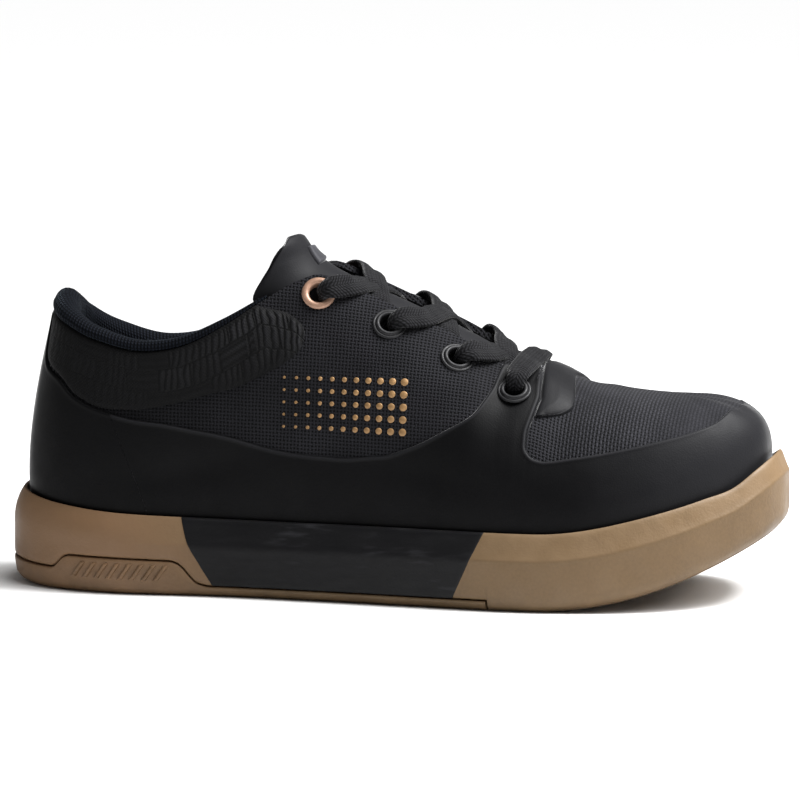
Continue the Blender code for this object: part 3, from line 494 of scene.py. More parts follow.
def spots_on_skin(spots):
    """Turn and v of places given as seen from the outer side."""
    found = []
    step = 1e-3
    for spot in spots:
        off = (GRID[..., 0] - spot.x) ** 2 + (GRID[..., 2] - spot.z) ** 2
        i, j = np.unravel_index(np.argmin(off), off.shape)
        turn, v = GRID_TURN[i], GRID_V[j]
        for _ in range(6):
            here = skin(LATERAL, turn, v, EDGE_LIFT)
            by_turn = (skin(LATERAL, turn + step, v, EDGE_LIFT) - here) / step
            by_v = (here - skin(LATERAL, turn, v - step, EDGE_LIFT)) / step
            matrix = np.array([[by_turn[0], by_v[0]], [by_turn[2], by_v[2]]])
            change = np.linalg.solve(matrix, [spot.x - here[0], spot.z - here[2]])
            turn = turn + np.clip(change[0], -0.01, 0.01)
            v = np.clip(v + np.clip(change[1], -0.05, 0.05), 0.02, 1.0)
        found.append((float(turn), float(v)))
    return np.array(found)


def v_at_height(turn, z):
    """v of a given height on one rib."""
    turn, z = np.broadcast_arrays(np.asarray(turn, float), np.asarray(z, float))
    heights = skin_raw(LATERAL, turn[..., None], GRID_V)[..., 2].reshape(-1, len(GRID_V))
    found = [np.interp(want, row, GRID_V) for want, row in zip(z.ravel(), heights)]
    return np.array(found).reshape(turn.shape)


ARM_SPOTS = spots_on_skin(MUDGUARD_EDGE)
WINDOW_SPOTS = spots_on_skin(WINDOW_EDGE)
ARM_KEYS = np.concatenate([ARM_SPOTS[:, 0], [ARM_TOP, ARM_END]])
ARM_V = np.concatenate([ARM_SPOTS[:, 1], [1.0, 1.0]])
WINDOW_ARC = 1 - np.cos(np.linspace(0, math.pi / 2, 12)[:-1])
WINDOW_FALL = WINDOW_CORNER * (1 - np.sqrt(1 - (1 - WINDOW_ARC) ** 2))
WINDOW_TURNS = ARM_END + (WINDOW_SPOTS[0, 0] - ARM_END) * WINDOW_ARC
WINDOW_KEYS = np.concatenate([WINDOW_TURNS, WINDOW_SPOTS[:, 0], column(WINDOW_NOSE, "turn")])
WINDOW_V = np.concatenate([WINDOW_SPOTS[0, 1] + WINDOW_FALL, WINDOW_SPOTS[:, 1], column(WINDOW_NOSE, "v")])
SEAM_SPOTS = spots_on_skin(SEAM_EDGE)
SEAM_TURN = SEAM_SPOTS[-1, 0]
PANEL_SPOTS = spots_on_skin(PANEL_EDGE)
PANEL_TOP_SPOTS = spots_on_skin(PANEL_TOP)
EYELET_SPOTS = spots_on_skin(EYELETS)


def counter_top(turn):
    return v_at_height(turn, rounded_column(COUNTER_EDGE, "z", turn))


def slanted(turns, v):
    """Turns of the skin's columns, which lean with the counter's seam and the arm's front edge."""
    turns, v = np.broadcast_arrays(turns[:, None], v)
    lean = np.interp(v, SEAM_SPOTS[:, 1], SEAM_SPOTS[:, 0]) - SEAM_TURN
    fade = np.interp(turns, [SEAM_FADES[0], SEAM_TURN, SEAM_FADES[1]], [0.0, 1.0, 0.0])
    arm_fade = np.interp(turns, [ARM_FADES[0], ARM_END, ARM_FADES[1]], [0.0, 1.0, 0.0])
    return turns + lean * fade + straight(ARM_LEAN, "turn", v) * arm_fade


# Meshes
def quads_between(rows, columns, around=False):
    """Quads of a grid of points stored row by row, closed across its columns if around."""
    index = np.arange(rows * columns).reshape(rows, columns)
    if around:
        index = np.concatenate([index, index[:, :1]], axis=1)
    return np.stack([index[:-1, :-1], index[:-1, 1:], index[1:, 1:], index[1:, :-1]], axis=-1)


def slab(outer, inner, uv, cells=None, open_edges=None):
    """Closed layer between two grids: cells says which to keep, open_edges which rims stay open."""
    rows, columns = outer.shape[:2]
    count = rows * columns
    quads = quads_between(rows, columns)
    quads = quads.reshape(-1, 4) if cells is None else quads[cells]
    edges = np.concatenate([quads[:, [i, (i + 1) % 4]] for i in range(4)])
    _, first, times = np.unique(np.sort(edges, axis=1), axis=0, return_index=True, return_counts=True)
    rim = edges[first[times == 1]]
    if open_edges is not None:
        flat = open_edges.ravel()
        rim = rim[~(flat[rim[:, 0]] & flat[rim[:, 1]])]
    sides = np.stack([rim[:, 1], rim[:, 0], rim[:, 0] + count, rim[:, 1] + count], axis=-1)
    faces = np.concatenate([quads, quads[:, ::-1] + count, sides])
    points = np.concatenate([outer.reshape(-1, 3), inner.reshape(-1, 3)])
    flat_uv = uv.reshape(-1, 2)
    return points, faces, np.concatenate([flat_uv, flat_uv + np.array([0.0, WALL_THICK])])


def tube(sections, uv, closed=False):
    """Skin of a row of closed sections, with its ends capped unless the row closes on itself."""
    count, corners = sections.shape[:2]
    if closed:
        sections = np.concatenate([sections, sections[:1]])
        uv = np.concatenate([uv, uv[:1]])
        count += 1
    faces = quads_between(count, corners, around=True).reshape(-1, 4)
    points = sections.reshape(-1, 3)
    uv = uv.reshape(-1, 2)
    if not closed:
        ends = points.reshape(count, corners, 3)[[0, -1]].mean(axis=1)
        for end, row in enumerate((0, count - 1)):
            hubs = np.full(corners, len(points) + end)
            ring = row * corners + np.arange(corners)
            caps = np.stack([ring, np.roll(ring, -1), hubs, hubs], 1)
            faces = np.concatenate([faces, caps])
        points = np.concatenate([points, ends])
        uv = np.concatenate([uv, uv[:1], uv[-1:]])
    return points, faces, uv


def merged(parts):
    points = []
    faces = []
    uvs = []
    start = 0
    for part_points, part_faces, part_uv in parts:
        points.append(part_points)
        faces.append(part_faces + start)
        uvs.append(part_uv)
        start += len(part_points)
    return np.concatenate(points), np.concatenate(faces), np.concatenate(uvs)


def mesh_object(name, points, faces, uv, sharp=48.0):
    """Smooth object from points in millimetres, equal points joined, with uv in millimetres of cloth."""
    points = np.asarray(points, float) + np.array([0.0, CENTRE_SHIFT, 0.0])
    faces = [tuple(dict.fromkeys(face)) for face in faces.tolist()]
    faces = [face for face in faces if len(face) > 2]
    mesh = bpy.data.meshes.new(name)
    mesh.from_pydata((points * MM).tolist(), [], faces)
    corner = np.empty(len(mesh.loops), int)
    mesh.loops.foreach_get("vertex_index", corner)
    mesh.uv_layers.new(name="cloth").data.foreach_set("uv", uv[corner].astype(np.float32).ravel())
    net = bmesh.new()
    net.from_mesh(mesh)
    bmesh.ops.remove_doubles(net, verts=net.verts, dist=2e-6)
    bmesh.ops.dissolve_degenerate(net, edges=net.edges, dist=1e-6)
    bmesh.ops.recalc_face_normals(net, faces=net.faces)
    if net.calc_volume(signed=True) < 0:
        bmesh.ops.reverse_faces(net, faces=net.faces)
    net.to_mesh(mesh)
    net.free()
    mesh.polygons.foreach_set("use_smooth", [True] * len(mesh.polygons))
    mesh.set_sharp_from_angle(angle=math.radians(sharp))
    made = bpy.data.objects.new(name, mesh)
    bpy.context.scene.collection.objects.link(made)
    return made


def carve(target, cutter):
    """Cuts one object out of another and keeps the result as a plain mesh."""
    step = target.modifiers.new("carve", "BOOLEAN")
    step.operation = "DIFFERENCE"
    step.solver = "EXACT"
    step.object = cutter
    evaluated = target.evaluated_get(bpy.context.evaluated_depsgraph_get())
    carved = bpy.data.meshes.new_from_object(evaluated)
    target.modifiers.clear()
    target.data = carved
    bpy.data.objects.remove(cutter, do_unlink=True)


def dress(made, look, nodes=()):
    """Gives a finished piece its material, its body and the solids it stands for."""
    made.data.materials.clear()
    made.data.materials.append(look)
    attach(made, "root")
    if nodes:
        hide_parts(*nodes)
    return made


# Materials
class Look:
    """Node tree of one material, with short calls for its maths."""

    def __init__(self, name, roughness, specular=0.5):
        self.material = bpy.data.materials.new(name)
        self.material.use_nodes = True
        self.nodes = self.material.node_tree.nodes
        self.links = self.material.node_tree.links
        self.shader = self.nodes["Principled BSDF"]
        self.set("Roughness", roughness)
        self.set("Specular IOR Level", specular)
        self.place = self.add("ShaderNodeTexCoord").outputs["Object"]

    def feed(self, socket, value):
        if isinstance(value, bpy.types.NodeSocket):
            self.links.new(value, socket)
        else:
            socket.default_value = value

    def set(self, name, value):
        self.feed(self.shader.inputs[name], value)

    def add(self, kind, inputs=None, **settings):
        made = self.nodes.new(kind)
        for name, value in settings.items():
            setattr(made, name, value)
        for name, value in (inputs or {}).items():
            self.feed(made.inputs[name], value)
        return made

    def calc(self, operation, *values):
        made = self.add("ShaderNodeMath", operation=operation)
        for socket, value in zip(made.inputs, values):
            self.feed(socket, value)
        return made.outputs[0]

    def times(self, first, second):
        return self.calc("MULTIPLY", first, second)

    def times_plus(self, first, factor, more):
        return self.calc("MULTIPLY_ADD", first, factor, more)

    def noise(self, size, detail=2.0, place=None):
        """Cloudy pattern with spots of about the given size in millimetres."""
        inputs = {"Vector": place or self.place, "Scale": 1 / (size * MM), "Detail": detail}
        return self.add("ShaderNodeTexNoise", inputs).outputs["Fac"]

    def ramp(self, value, stops):
        made = self.add("ShaderNodeValToRGB", {"Fac": value})
        steps = made.color_ramp.elements
        while len(steps) < len(stops):
            steps.new(0.5)
        for step, (at, colour) in zip(steps, stops):
            step.position = at
            step.color = (*colour, 1.0)
        return made.outputs["Color"]

    def grade(self, value, low, high, to_low=0.0, to_high=1.0):
        inputs = {"Value": value, "From Min": low, "From Max": high, "To Min": to_low, "To Max": to_high}
        return self.add("ShaderNodeMapRange", inputs).outputs["Result"]

    def mix(self, share, first, second):
        made = self.add("ShaderNodeMix", data_type="RGBA")
        self.feed(made.inputs["Factor"], share)
        sockets = [s for s in made.inputs if s.type == "RGBA"]
        for socket, value in zip(sockets, (first, second)):
            self.feed(socket, value if isinstance(value, bpy.types.NodeSocket) else (*value, 1.0))
        return [s for s in made.outputs if s.type == "RGBA"][0]

    def bump(self, height, depth, before=None):
        """Relief of the given depth in millimetres, over an earlier one if given."""
        inputs = {"Height": height, "Distance": depth * MM, "Strength": 1.0}
        made = self.add("ShaderNodeBump", inputs)
        if before is not None:
            self.feed(made.inputs["Normal"], before)
        return made.outputs["Normal"]

    def split(self, vector):
        return self.add("ShaderNodeSeparateXYZ", {"Vector": vector}).outputs

    def cloth(self):
        """Cloth coordinates of the piece, in millimetres."""
        parts = self.split(self.add("ShaderNodeUVMap", uv_map="cloth").outputs[0])
        return parts["X"], parts["Y"]

    def wave(self, value, pitch):
        return self.calc("SINE", self.times(value, math.pi / pitch))

    def ribs(self, value, pitch):
        """Rounded ribs of the given pitch, from 0 between them to 1 on top."""
        return self.calc("ABSOLUTE", self.wave(value, pitch))

    def sheen(self, weight, roughness):
        self.set("Sheen Weight", weight)
        self.set("Sheen Roughness", roughness)


def grey(level, blue=1.12):
    return (level, level, level * blue)


def tinted(colour, factors):
    """Colour with its channels multiplied by one factor or by three."""
    return tuple(float(channel) for channel in np.multiply(colour, factors))


PAINTED_HEEL_LIGHT_TINT = (1.62, 1.46, 1.58)
RUBBED_AND_LIT_TINT = (1.3, 1.33, 1.42)
DUST_TINT = 0.55


def gum_look(name, colour):
    """Gum rubber: fine speckle, soft mottling, dust low down, painted light towards the heel, and a paler
    bevel that is partly rubbed wear and partly a painted highlight.
    """
    look = Look(name, 0.55, 0.3)
    tone = look.times_plus(look.noise(1.1, 2.0), 0.3, look.times(look.noise(30, 5.0), 0.7))
    stops = [(0.32, 0.80), (0.5, 1.0), (0.68, 1.14)]
    tint = look.ramp(tone, [(at, tinted(colour, level)) for at, level in stops])
    share = look.cloth()[1]
    along = look.split(look.place)["X"]
    # Painted light: the gum is paler towards the heel, making up for the lamp light that falls more on the
    # toe than on the heel
    heel = look.grade(along, -40 * MM, -100 * MM)
    tint = look.mix(look.times(heel, 0.7), tint, tinted(colour, PAINTED_HEEL_LIGHT_TINT))
    # Paler bevel: partly rubbed wear in patches, partly a painted highlight where the upward-facing bevel
    # catches the light
    bevel = look.grade(share, 65.5, 69.0)
    patches = look.times(bevel, look.grade(look.noise(6, 4.0), 0.3, 0.6, 0.55, 1.0))
    rubbed_and_lit = look.times(patches, look.calc("SUBTRACT", 1.0, heel))
    tint = look.mix(rubbed_and_lit, tint, tinted(colour, RUBBED_AND_LIT_TINT))
    dust = look.times(look.grade(share, 22.0, 2.0), look.grade(look.noise(8, 4.0), 0.38, 0.68))
    tint = look.mix(look.times(dust, 0.6), tint, tinted(colour, DUST_TINT))
    look.set("Base Color", tint)
    look.set("Roughness", look.grade(look.noise(10, 3.0), 0.3, 0.7, 0.46, 0.64))
    grain = look.bump(look.noise(0.8, 2.0), 0.09)
    look.set("Normal", look.bump(look.noise(9, 4.0), 0.4, grain))
    return look.material


def rubber_look():
    """Black rubber of the side panels: satin, with faint lengthwise rubs."""
    look = Look("panel_rubber", 0.45, 0.14)
    stretch = look.add("ShaderNodeMapping", {"Vector": look.place, "Scale": (0.12, 1.0, 1.0)})
    streak = look.noise(2.6, 4.0, stretch.outputs[0])
    rub = look.times(look.grade(streak, 0.56, 0.72), look.grade(look.noise(20, 2.0), 0.4, 0.65))
    look.set("Base Color", look.mix(look.times(rub, 0.6), grey(0.0055), grey(0.025)))
    look.set("Roughness", look.grade(streak, 0.3, 0.7, 0.4, 0.58))
    grain = look.bump(look.noise(0.8, 2.0), 0.07)
    look.set("Normal", look.bump(look.noise(9, 3.0), 0.3, grain))
    return look.material


PORE_DEPTH = 0.035


def smooth_look(name, level, roughness, edge=None):
    """Smooth matte synthetic with a very fine grain, and either a painted highlight on the edge bead and a
    painted paler toe, or a dark bound edge.
    """
    look = Look(name, roughness, 0.07)
    cloud = look.noise(24, 3.0)
    tint = look.ramp(cloud, [(0.3, grey(level * 0.85)), (0.7, grey(level * 1.15))])
    pores = look.add("ShaderNodeTexVoronoi", {"Vector": look.place, "Scale": 1 / (0.55 * MM)})
    pits = pores.outputs["Distance"]
    away = look.cloth()[0]
    if edge is None:
        grain = look.bump(look.times(pits, look.grade(away, 0.4, 1.4)), PORE_DEPTH)
        # Painted highlight: a paler line along the edge bead, where its rounded top catches the light
        bead_highlight = look.times(look.grade(away, 0.1, 0.5), look.grade(away, 1.6, 0.7))
        # Painted highlight: the overlay is paler towards the toe, where the top of the toe catches the
        # light
        along = look.split(look.place)["X"]
        tint = look.mix(look.grade(along, 70 * MM, 120 * MM), tint, grey(level + 0.009))
        tint = look.mix(look.times(bead_highlight, 0.8), tint, grey(level + 0.012))
    else:
        off = look.calc("ABSOLUTE", away)
        tint = look.mix(look.grade(off, edge, edge + 0.2), tint, grey(level * 0.4))
        bound = look.grade(off, edge, edge + 0.5, 1.0, 0.0)
        grain = look.bump(bound, 0.4, look.bump(pits, PORE_DEPTH))
    look.set("Base Color", tint)
    look.set("Roughness", look.grade(look.noise(9, 3.0), 0.3, 0.7, roughness - 0.05, roughness + 0.06))
    look.sheen(0.7, 0.2)
    look.set("Normal", look.bump(look.noise(5, 3.0), 0.06, grain))
    return look.material


def weave_look():
    """Open mesh: yarns over and under each other with dark holes between."""
    pitch = 1.3
    look = Look("open_mesh", 0.85, 0.06)
    u, v = look.cloth()
    u = look.calc("ADD", u, look.times(look.noise(3.0, 2.0), 0.5))
    v = look.calc("ADD", v, look.times(look.noise(4.0, 2.0), 0.5))
    warp = look.wave(u, pitch)
    weft = look.wave(v, pitch)
    cross = look.times(warp, weft)
    over = look.calc("MAXIMUM", look.calc("MINIMUM", look.times(cross, 1.8), 1.0), -1.0)
    spot = look.split(look.place)
    along = spot["X"]
    vamp = look.grade(along, 55 * MM, 66 * MM, 0.85, 0.55)
    first = look.times(look.calc("ABSOLUTE", warp), look.times_plus(over, 0.15, 0.85))
    second = look.times(look.calc("ABSOLUTE", weft), look.times_plus(over, -0.15, vamp))
    height = look.calc("MAXIMUM", first, second)
    ridge = look.grade(spot["Z"], 66 * MM, 73 * MM, 0.0, 0.6)
    top = look.times(ridge, look.grade(along, 56 * MM, 64 * MM))
    closed = look.calc("MAXIMUM", top, look.grade(along, 78 * MM, 108 * MM, 0.0, 0.75))
    still_open = look.times(height, look.calc("SUBTRACT", 1.0, closed))
    height = look.times_plus(closed, 0.68, still_open)
    # Painted shade and light: the mesh is darker towards the heel and paler on the vamp, following where
    # the light falls; the noise is random tone
    rear = look.grade(along, -95 * MM, -35 * MM, 0.4, 1.0)
    front = look.grade(along, 50 * MM, 72 * MM, 1.0, 1.85)
    tone_and_painted_light = look.grade(look.noise(16, 3.0), 0.3, 0.7, 0.75, 1.15)
    tone_and_painted_light = look.times(tone_and_painted_light, look.times(rear, front))
    yarn = look.ramp(height, [(0.25, grey(0.0008)), (0.5, grey(0.0037)), (0.85, grey(0.0165, 1.16))])
    tint = look.add("ShaderNodeVectorMath", {0: yarn}, operation="SCALE")
    look.feed(tint.inputs["Scale"], tone_and_painted_light)
    look.set("Base Color", tint.outputs[0])
    look.sheen(0.28, 0.28)
    look.set("Normal", look.bump(height, 0.4))
    return look.material


def ribbed_look():
    """Ribbed cloth: upright ribs in front, and blocks of ribs that grow fainter below and behind."""
    block_height = 8.0
    block_length = 11.6
    look = Look("ribbed_panel", 0.75, 0.12)
    u, v = look.cloth()
    uneven = look.times_plus(look.noise(12.0, 1.0), 2.4, v)
    row = look.calc("FLOOR", look.calc("DIVIDE", uneven, block_height))
    slid = look.times_plus(row, 4.4, u)
    block = look.add("ShaderNodeCombineXYZ")
    look.feed(block.inputs["X"], look.calc("FLOOR", look.calc("DIVIDE", slid, block_length)))
    look.feed(block.inputs["Y"], row)
    chance = look.add("ShaderNodeTexWhiteNoise", {"Vector": block.outputs[0]}).outputs["Value"]
    behind = look.grade(u, 116.0, 68.0)
    leant = look.times_plus(v, 0.14, look.times_plus(look.noise(7.0, 1.0), 3.0, u))
    moved = look.times_plus(look.times(chance, behind), 2.0, leant)
    upright = look.ribs(moved, 2.5)
    level = look.ribs(v, 2.7)
    turned = look.calc("LESS_THAN", chance, look.times(behind, 0.36))
    rib = look.add("ShaderNodeMix", {"Factor": turned}, data_type="FLOAT")
    look.feed(rib.inputs[2], upright)
    look.feed(rib.inputs[3], level)
    strength = look.times(look.grade(u, 15.0, 78.0, 0.25, 1.0), look.grade(v, 9.0, 22.0, 1.0, 0.4))
    uneven_share = look.times(look.calc("SUBTRACT", 1.0, chance), behind)
    strength = look.times(strength, look.grade(uneven_share, 0.0, 1.0, 1.0, 0.35))
    for place, size in ((uneven, block_height), (slid, block_length)):
        from_edge = look.ribs(place, size)
        strength = look.times(strength, look.grade(from_edge, 0.0, 0.2))
    strength = look.times(strength, look.grade(v, 0.3, 2.5))
    fine = look.times(look.wave(u, 0.6), look.wave(v, 0.6))
    height = look.times_plus(fine, 0.1, look.times(rib.outputs[0], strength))
    stops = [(0.05, grey(0.002)), (0.5, grey(0.0045)), (1.0, grey(0.015))]
    look.set("Base Color", look.ramp(height, stops))
    look.sheen(0.1, 0.3)
    look.set("Normal", look.bump(height, 0.7))
    return look.material


def knit_look():
    """Soft knit rib: columns of small slanted stitches."""
    look = Look("knit_roll", 0.9, 0.06)
    u, v = look.cloth()
    fold = look.ribs(u, 1.25)
    slant = look.times_plus(fold, 0.55, v)
    stitch = look.ribs(slant, 1.25)
    height = look.times(fold, look.times_plus(stitch, 0.7, 0.3))
    tint = [(0.1, (0.001, 0.0012, 0.0018)), (0.5, (0.0026, 0.0032, 0.0048)), (0.9, (0.008, 0.0098, 0.0145))]
    look.set("Base Color", look.ramp(height, tint))
    look.sheen(0.06, 0.2)
    look.set("Sheen Tint", (0.7, 0.85, 1.0, 1.0))
    look.set("Normal", look.bump(height, 0.35))
    return look.material


def lace_look():
    """Flat braid: slanted strands that meet along the middle."""
    look = Look("braid", 0.85, 0.08)
    u, v = look.cloth()
    u = look.times_plus(look.noise(3.0, 2.0), 1.2, u)
    slant = look.times_plus(look.calc("ABSOLUTE", v), 0.7, u)
    strand = look.ribs(slant, 1.1)
    split = look.ribs(v, 1.15)
    height = look.times(strand, look.times_plus(split, 0.5, 0.5))
    look.set("Base Color", look.ramp(height, [(0.1, grey(0.002)), (0.5, grey(0.006)), (0.95, grey(0.017))]))
    look.sheen(0.12, 0.35)
    look.set("Normal", look.bump(look.noise(2.2, 3.0), 0.3, look.bump(height, 0.24)))
    return look.material


def metal_look(name, colour, roughness):
    """Enamelled eyelet with small scratches."""
    look = Look(name, roughness, 0.35)
    wear = look.grade(look.noise(2.5, 4.0), 0.4, 0.7)
    look.set("Base Color", look.mix(wear, colour, tinted(colour, 1.3)))
    look.set("Metallic", 0.3)
    look.set("Roughness", look.grade(look.noise(1.2, 3.0), 0.3, 0.7, roughness - 0.08, roughness + 0.1))
    look.set("Normal", look.bump(look.noise(0.9, 2.0), 0.03))
    return look.material


def footbed_look():
    """Felt-like cloth of the footbed."""
    look = Look("footbed_cloth", 0.95, 0.1)
    fibre = look.noise(0.6, 3.0)
    look.set("Base Color", look.ramp(fibre, [(0.3, grey(0.006)), (0.7, grey(0.016))]))
    look.set("Normal", look.bump(fibre, 0.15))
    return look.material


GUM = gum_look("gum_cup", (0.122, 0.077, 0.0375))
GUM_TREAD = gum_look("gum_tread", (0.115, 0.072, 0.0345))
RUBBER = rubber_look()
SMOOTH = smooth_look("smooth_overlay", 0.003, 0.5)
# Painted light: the throat tab gets a paler copy of the overlay synthetic, as it faces up into the light
TAB_LIT_LOOK = smooth_look("throat_tab_painted_lit", 0.009, 0.5)
TONGUE_LOOK = smooth_look("tongue_face", 0.012, 0.55, edge=19.2)
LABEL = smooth_look("label_face", 0.035, 0.5)
MESH = weave_look()
RIBBED = ribbed_look()
KNIT = knit_look()
BRAID = lace_look()
TAN = metal_look("tan_enamel", (0.30, 0.18, 0.125), 0.35)
BRONZE = metal_look("bronze_print", (0.25, 0.145, 0.062), 0.45)
BLACK_METAL = metal_look("black_enamel", (0.008, 0.008, 0.009), 0.52)
FOOTBED = footbed_look()


# Sole
GROOVE_TURN = float(turn_at(GROOVE_END))
SOLE_TURNS = 190


def sole_turns(extra=()):
    even = np.linspace(0, 1, SOLE_TURNS + 1)
    steps = [float(turn_at(row.x)) for row in HEEL_TAB[1:]]
    return np.unique(np.round(np.concatenate([even, steps, extra]), 6))


def tab_height(side, x):
    return rounded_column(HEEL_TAB, SIDE_NAMES[side], x)


def sole_grid(side, turns, insets, heights):
    """Points of half sections, one row per turn, from their insets and heights above the lowest line."""
    spread = np.broadcast_to(turns[:, None], insets.shape)
    flat, _ = plan(side, spread, insets)
    return placed(flat, base(flat[..., 0]) + heights)


def sole_loft(turns, section):
    """Solid from half sections: section(side, turns) gives insets and heights from bottom to top."""
    sections = [section(side, turns) for side in SIDES]
    halves = [sole_grid(side, turns, *half) for side, half in zip(SIDES, sections)]
    loops = np.concatenate([halves[0], halves[1][:, ::-1]], axis=1)
    shares = [100 * half[1] / wall_height(plan_x(turns))[:, None] for half in sections]
    uv = np.stack([loops[..., 0], np.concatenate([shares[0], shares[1][:, ::-1]], axis=1)], axis=-1)
    faces = quads_between(loops.shape[0], loops.shape[1], around=True).reshape(-1, 4)
    return loops.reshape(-1, 3), faces, uv.reshape(-1, 2)


def cup_section(side, turns):
    """Cup: from the rebate up the wall with its ridge and bevel, over the lip and down inside."""
    x = plan_x(turns)
    height = wall_height(x)
    front = turns > GROOVE_TURN + 1e-4
    low = np.where(front, FRONT_LOW, SPLIT + 0.15 + tab_height(side, x))
    bed = curve(LEVELS, "footbed", x)
    rows = [low, low + 0.35, low + 0.8, np.maximum(low + 1.6, 2.4), np.maximum(low + 3.0, 4.6)]
    shares = [0.45, 0.58, 0.635, 0.66, 0.685, 0.71, 0.75, 0.82, 0.9, 0.95, 0.985, 1.0]
    rows += [np.maximum(share * height, rows[4] + 0.02 * i) for i, share in enumerate(shares)]
    insets = [wall_inset(turns, row) for row in rows]
    for i, pull in enumerate(EDGE_PULLS):
        insets[i] = insets[i] + pull
    flat = np.ones_like(x)
    heights = [SPLIT * flat, low] + rows + [height - 0.1, height - 1.5, bed]
    insets = [REBATE * flat, REBATE * flat] + insets + [CUP_INSET * flat, (CUP_INSET + 0.2) * flat]
    insets += [(CUP_INSET + TUCK) * flat]
    return np.stack(insets, 1), np.stack(heights, 1)


def tread_section(side, turns):
    """Outsole strip with its tab, rounded at the groove."""
    x = plan_x(turns)
    front = turns > GROOVE_TURN - 1e-3
    edge = np.where(front, REBATE + GAP, 0.0)
    top = OUTSOLE_THICK + np.where(front, 0.0, tab_height(side, x))
    flat = np.ones_like(x)
    rows = [0.0 * flat, 0.3 * flat, 0.9 * flat, 1.7 * flat, 2.6 * flat]
    rows += [top - 0.9, top - 0.4, top - 0.12, top]
    insets = [np.maximum(edge, wall_inset(turns, row)) for row in rows]
    insets[0] = np.maximum(insets[0], edge + 0.8)
    for i, pull in enumerate((0.0, *EDGE_PULLS[::-1]), start=5):
        insets[i] = insets[i] + np.where(front, 0.0, pull - 0.05)
    rows += [top, OUTSOLE_THICK * flat]
    insets += [edge + 3.0, edge + 3.0]
    return np.stack(insets, 1), np.stack(rows, 1)


# Flex grooves under heel and ball
TREAD_GROOVES = [*np.arange(-104, -44, 12.0), *np.arange(28, 101, 12.0)]
TREAD_WIDTH = 3.2
TREAD_DEPTH = 1.6
TREAD_MARGIN = 11.0
BOX_FACES = np.array([(0, 1, 3, 2), (4, 6, 7, 5), (0, 4, 5, 1), (2, 3, 7, 6), (0, 2, 6, 4), (1, 5, 7, 3)])


def tread_cutter():
    """Boxes that cut the flex grooves."""
    parts = []
    for x in TREAD_GROOVES:
        reach = [plan_raw(side, float(turn_at(x)))[1] - side * TREAD_MARGIN for side in SIDES]
        low = float(base(x))
        slope = float(base(x + 0.5) - base(x - 0.5))
        ends = [x - TREAD_WIDTH / 2, x + TREAD_WIDTH / 2]
        box = np.stack(np.meshgrid(ends, reach, [low - 3.0, low + TREAD_DEPTH], indexing="ij"), axis=-1)
        box[..., 2] += slope * (box[..., 0] - x)
        parts.append((box.reshape(-1, 3), BOX_FACES, np.zeros((8, 2))))
    return mesh_object("tread_cutter", *merged(parts))


def wall_point(side, turn, height, out):
    flat, _ = plan(side, turn, wall_inset(turn, height) - out)
    return placed(flat, base(flat[..., 0]) + height)


PANEL_SHARES = np.concatenate(
    [[0, 0.012, 0.03], np.linspace(0.06, 0.6, 10), np.linspace(0.62, 0.98, 22), [0.99, 1.0]]
)
PANEL_ALONG = np.concatenate(
    [[0, 0.002, 0.006, 0.012], np.linspace(0.02, 0.98, 70), [0.988, 0.994, 0.998, 1.0]]
)


def panel_grid(side, lift, depth):
    """Both faces of the black panel in the side wall, with rounded edges."""
    back, front = (rounded_column(PANEL_ENDS, name, PANEL_SHARES) for name in ("back", "front"))
    x = back + (front - back) * PANEL_ALONG[:, None]
    turns = turn_at(x)
    low = SPLIT + 0.25
    heights = low + (wall_height(x) - low) * PANEL_SHARES
    from_ends = np.minimum(PANEL_ALONG, 1 - PANEL_ALONG) * 100
    edge = np.minimum.outer(from_ends, np.minimum(PANEL_SHARES, 1 - PANEL_SHARES) * 24)
    swell = lift * np.clip(edge / 0.5, 0, 1) ** 0.5
    outer = wall_point(side, turns, heights, swell)
    inner = wall_point(side, turns, heights, np.full(turns.shape, -depth))
    return slab(outer, inner, outer[..., [0, 2]])


# Plain ribs on the tab of the outsole
RIB_PLACES = np.arange(-111.4, -79.0, 4.4)
RIB_HALF_WIDTH = 1.0
RIB_HALF_HEIGHT = 2.9
RIB_SLANT = 2.0
RIB_RELIEF = 1.05


def tab_ribs():
    """Row of slanted ribs with rounded edges."""
    parts = []
    wide, high = np.meshgrid(np.linspace(-1, 1, 9), np.linspace(-1, 1, 17), indexing="ij")
    dome = np.sqrt(np.clip(1 - np.maximum(wide**2, high**6), 0, 1))
    for x in RIB_PLACES:
        turns = turn_at(x + RIB_HALF_WIDTH * wide + RIB_SLANT * high)
        heights = SPLIT + 0.5 * float(tab_height(LATERAL, x)) - 0.1 + RIB_HALF_HEIGHT * high
        outer = wall_point(LATERAL, turns, heights, RIB_RELIEF * dome - 0.05)
        inner = wall_point(LATERAL, turns, heights, np.full(dome.shape, -0.6))
        parts.append(slab(outer, inner, outer[..., [0, 2]]))
    return merged(parts)


# Footbed: its rounded upper edge as insets and heights
FOOTBED_INSET = UPPER_INSET + TUCK + WALL_THICK + 0.5
FOOTBED_RIM = table(
    "inset height",
    (0.0, 0.0), (-0.1, INSOLE_THICK - 0.8), (0.5, INSOLE_THICK - 0.1), (1.6, INSOLE_THICK),
)


def footbed_section(side, turns):
    """Section of the footbed, the same on either side."""
    bed = curve(LEVELS, "footbed", plan_x(turns)) + GAP
    insets = np.tile(FOOTBED_INSET + column(FOOTBED_RIM, "inset"), (len(turns), 1))
    return insets, bed[:, None] + column(FOOTBED_RIM, "height")


